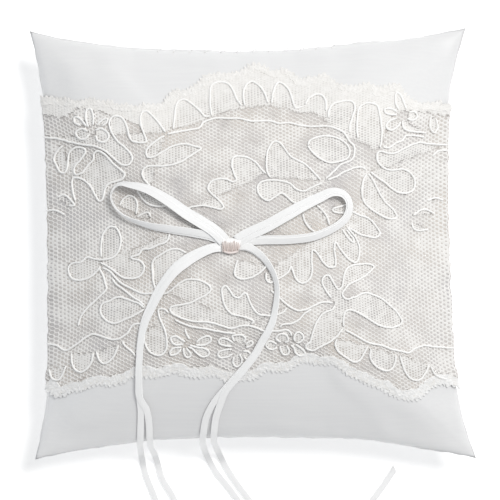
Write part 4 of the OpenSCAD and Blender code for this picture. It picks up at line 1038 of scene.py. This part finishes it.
KNOT = -10.5, 0.2
LOOP_LEFT = [[-13.4, 1.4, 2.1, 0], [-16, 4.6, 2.2, 3], [-20, 8.2, 2.4, 6], [-25, 11.5, 2.7, 9],
    [-32.3, 16.2, 3.1, 14], [-40.5, 22.3, 3.5, 20], [-50.7, 28.2, 3.8, 28], [-60.8, 31.2, 3.8, 48],
    [-65.6, 30.6, 3.7, 66], [-69, 27.8, 3.6, 82], [-70.2, 23.8, 3.4, 88], [-68.6, 19.2, 3.3, 84],
    [-65, 15.3, 3.2, 74], [-59, 12.2, 3, 58], [-50.5, 9.8, 2.7, 42], [-40.7, 8, 2.4, 28],
    [-30, 6.2, 2, 18], [-20, 4, 1.6, 6], [-13.4, 0.8, 1.4, 0]]
LOOP_RIGHT = [[-7.4, 1.4, 2.1, 0], [-2.7, 4.4, 2.3, -3], [2, 6.6, 2.5, -6], [8, 9.3, 2.8, -8],
    [16.8, 14.2, 3.2, -10], [26.8, 19.7, 3.5, -14], [34, 23, 3.8, -20], [40, 25.6, 3.9, -30],
    [45.3, 25, 3.9, -40], [48.3, 21.5, 3.8, -42], [48.5, 16.8, 3.6, -38], [46.2, 12.3, 3.4, -34],
    [41, 8.2, 3.1, -32], [34, 4.9, 2.8, -30], [27.7, 3.2, 2.6, -28], [18, 2.3, 2.4, -25],
    [8, 2.2, 1.9, -18], [0, 1.8, 1.5, -8], [-7.4, 0.8, 1.4, 0]]
TAIL_LEFT = [[-13.4, -1.4, 1, 0], [-20, -1.5, 1.8, 0], [-29.3, -5.2, 1.9, 0], [-36.8, -10.2, 1.9, 8],
    [-42.8, -16.7, 1.9, 14], [-47.5, -24, 1.9, 14], [-51, -31.5, 1.9, 10], [-54, -39, 1.9, 6],
    [-55.8, -48.5, 1.9, 0], [-56.7, -59.2, 1.9, 0], [-56.9, -69, 1.8, 0], [-56.7, -78, 1.2, 0],
    [-55.9, -87, 0.8, 0], [-55.4, -95, 0.7, 0], [-55.2, -101.5, 0.9, 0]]
TAIL_RIGHT = [[-7.4, -1.4, 1, 0], [-2.2, -1.7, 1.8, 4], [2.5, -4.3, 2, 20], [7.4, -9.5, 2.2, 38],
    [10.8, -16, 2.4, 50], [12.1, -22.5, 2.4, 50], [11.5, -30, 2.3, 42], [9.8, -38.5, 2.1, 25],
    [7.5, -44.1, 1.9, 12], [4.9, -49, 1.9, 4], [-0.3, -59.2, 1.9, 0], [-8, -69.1, 1.8, 0],
    [-15.5, -78.4, 1.2, 0], [-20.3, -85.3, 0.8, 0], [-23.6, -92.8, 0.7, 0], [-25.1, -101.5, 0.9, 0]]
TABLE_1_LEFT = [[-53, -94.8, 25.5, 0], [-53.3, -96.8, 17, 0], [-53.4, -100.5, 7, 0],
    [-52.8, -106, 0.8, 0], [-51.2, -112.2, 0.6, 0], [-47.5, -121.5, 0.7, 0], [-43.5, -134, 0.9, 0],
    [-43, -146, 0.6, 0], [-48, -157, 0.9, 0], [-57, -165, 0.6, 0], [-68, -169, 0.6, 0]]
TABLE_2_LEFT = [[-48, -94.4, 25.5, 0], [-47.8, -96.6, 17, 0], [-47, -100.4, 7, 0],
    [-45.8, -105.5, 0.8, 0], [-43.3, -113.6, 0.6, 0], [-38.3, -122, 0.9, 0], [-32.5, -136, 0.6, 0],
    [-28.5, -148, 0.9, 0], [-29, -160, 0.6, 0], [-34.5, -171, 0.6, 0], [-43, -179, 0.6, 0]]
TABLE_1_RIGHT = [[-23.6, -93.6, 25.5, 0], [-23.5, -95.8, 17, 0], [-22.7, -99.5, 7, 0],
    [-20.8, -104.5, 0.8, 0], [-17, -110.8, 0.6, 0], [-10.3, -119.1, 0.6, 0], [-2, -131, 0.9, 0],
    [6, -144, 0.6, 0], [9, -156, 0.9, 0], [7, -168, 0.6, 0], [0, -178, 0.6, 0]]
TABLE_2_RIGHT = [[-18.5, -92.9, 25.5, 0], [-18, -95.2, 17, 0], [-17, -99, 7, 0],
    [-15.2, -103.5, 0.8, 0], [-11.5, -109.8, 0.6, 0], [-4.4, -119.8, 0.6, 0], [6.5, -132.5, 0.8, 0],
    [20, -140.5, 0.6, 0], [33, -141.5, 0.9, 0], [45.5, -136, 0.6, 0], [55, -126.5, 0.9, 0],
    [62.5, -117, 0.6, 0], [68.5, -108, 0.6, 0]]


def second(route, split):
    """The second ribbon's route on the cloth: the first one's, moved apart past where the pair splits."""
    start, spread = -78, 10
    return [[p + split * (1 - math.exp(min(0, q - start) / spread)), q, lift, roll]
            for p, q, lift, roll in route]


def make_bow(material):
    """Both ribbons, each with two loops and two tails. The first's are beneath the second's. The lists are
    mm across the ribbon's width, from its start to its end."""
    fan = [1.2, 1.2, 1.1, 0.7, 0.3, 0.3, 0.5, 0.5, 0.4]
    inward = [-side for side in fan]
    beside = [0.5, 2.4, 2.2, 0.4, 0, 0, 0, 0, 0, 0, 0]
    across = [0.3, 0.8, 0.2, 0.4, 0.9, 0.4, 0, 0, 0, 0, 0]
    split = 5
    rows = [(1, "left", "loop", LOOP_LEFT, [], inward, 0),
            (1, "right", "loop", LOOP_RIGHT, [], inward, 0),
            (1, "left", "tail", TAIL_LEFT, TABLE_1_LEFT, [0], 0),
            (1, "right", "tail", TAIL_RIGHT, TABLE_1_RIGHT, [0], 0),
            (2, "left", "loop", LOOP_LEFT, [], fan, 0.42),
            (2, "right", "loop", LOOP_RIGHT, [], fan, 0.42),
            (2, "left", "tail", second(TAIL_LEFT, split), TABLE_2_LEFT, beside, 0.4),
            (2, "right", "tail", second(TAIL_RIGHT, split), TABLE_2_RIGHT, across, 0.4)]
    for ribbon, hand, part, *route in rows:
        make_ribbon(f"ribbon_{ribbon}_{hand}_{part}", *route, material, f"ribbon_{ribbon}_{part}_{hand}")


def make_knot_wrap(at, material):
    """The ribbon drawn once round the crossing at that point, creased where it is pulled tight."""
    around, across = 48, 24
    half_long, half_high, half_deep = 4.1, 3.0, 1.35
    turn = np.linspace(0, 2 * math.pi, around, endpoint=False)[:, None]
    share = np.linspace(-1, 1, across + 1)[None, :]
    crease = 0.15 * np.sin(share * 15 + 1.3 * np.sin(turn)) * (1 - share ** 6)
    pinch = 1 - 0.3 * share ** 4
    x = at[0] + share * half_long * (1 + 0.1 * np.cos(turn)) + 0.3 * np.sin(turn)
    y = at[1] + (half_high + crease) * pinch * np.cos(turn)
    z = at[2] + (half_deep + crease) * pinch * np.sin(turn)
    k, i = np.mgrid[0:around, 0:across]
    row = across + 1
    a, b = k * row + i, (k + 1) % around * row + i
    quads = np.stack([a, b, b + 1, a + 1], axis=-1).reshape(-1, 4).tolist()
    first = [k * row for k in range(around)]
    last = [k + across for k in first[::-1]]
    shell = Shell().add(np.stack([x, y, z], axis=-1), quads + [first, last])
    wrap = make_piece("knot_wrap", shell, material, ["bow_knot"])
    # the value runs from 1 on the wrap's side towards the top edge to 0 towards the bottom edge, where its
    # paint puts painted shade
    mark(wrap, 0.5 + 0.5 * np.cos(turn + 0 * share))


def make_knot(materials):
    """The knot, with the stitches that tack it down and the folded edge they pull against."""
    at, _ = on_front(np.array(KNOT[0]), np.array(KNOT[1]), np.array(2.0))
    at[1] -= 0.4
    make_knot_wrap(at, materials["knot"])
    stitches, half_span, half_high, half_deep = 10, 3.5, 3.25, 1.55
    turn = np.linspace(0.36 * math.pi, 1.1 * math.pi, 20)
    shell = Shell()
    for number, shift in enumerate(np.linspace(-half_span, half_span, stitches)):
        lean = 0.35 * math.sin(2.4 * number)
        top = 1 + 0.12 * math.sin(5.1 * number)
        y = at[1] + half_high * np.cos(turn * top)
        z = at[2] + half_deep * np.maximum(np.sin(turn * top), -0.7) * (1 - 0.3 * (shift / 4.1) ** 4)
        path = np.stack([at[0] + shift + lean * np.cos(turn), y, z], axis=1)
        shell.add(*tube(path, np.array([1, 0, 0]), THREAD_D / 2, 6))
    # the stitches' brownish rose paint is painted shade under the knot
    make_piece("tack_stitches", shell, materials["tack"], ["bow_tack_stitches"])
    # the fold below the knot is white ribbon; its pinkish paint is painted shade
    bend, half_long, below, radius = np.linspace(-1, 1, 17), 3.8, 4.6, 0.55
    p, q = KNOT[0] + half_long * bend, KNOT[1] - below + 1.1 * bend ** 2
    path, off = on_front(p, q, 2.5 - 0.6 * bend ** 2)
    make_piece("knot_fold", Shell().add(*tube(path, off, radius, 10)), materials["painted_fold_shade"])


# ---------- the whole part ----------

make_camera()
make_floor()
make_light()
materials = make_materials()
make_bow(materials["ribbon"])
make_knot(materials)
make_panel("cushion_front", front_of, 1, materials["satin"], "cover_front")
make_panel("cushion_back", back_of, -1, materials["satin"], "cover_back")
make_filling(materials["fibre"])
make_seam_stitches(materials["thread"])
make_closing_stitches(materials["thread"])
ground, ground_area, net_shade_sheet, net_shade_area = make_lace_ground(materials)
lace_work = [
    make_lace_edge("lace_upper_edge", NET_TOP, 1, materials["lace"], "lace_edge_top"),
    make_lace_edge("lace_lower_edge", NET_BOTTOM, -1, materials["edging"], "lace_edge_bottom"),
]
for seed, (run, lines) in enumerate(CORD_RUNS.items(), start=70):
    lace_work.append(make_gimp("cord_" + run, lines, seed, materials["gimp"], "lace_" + run))
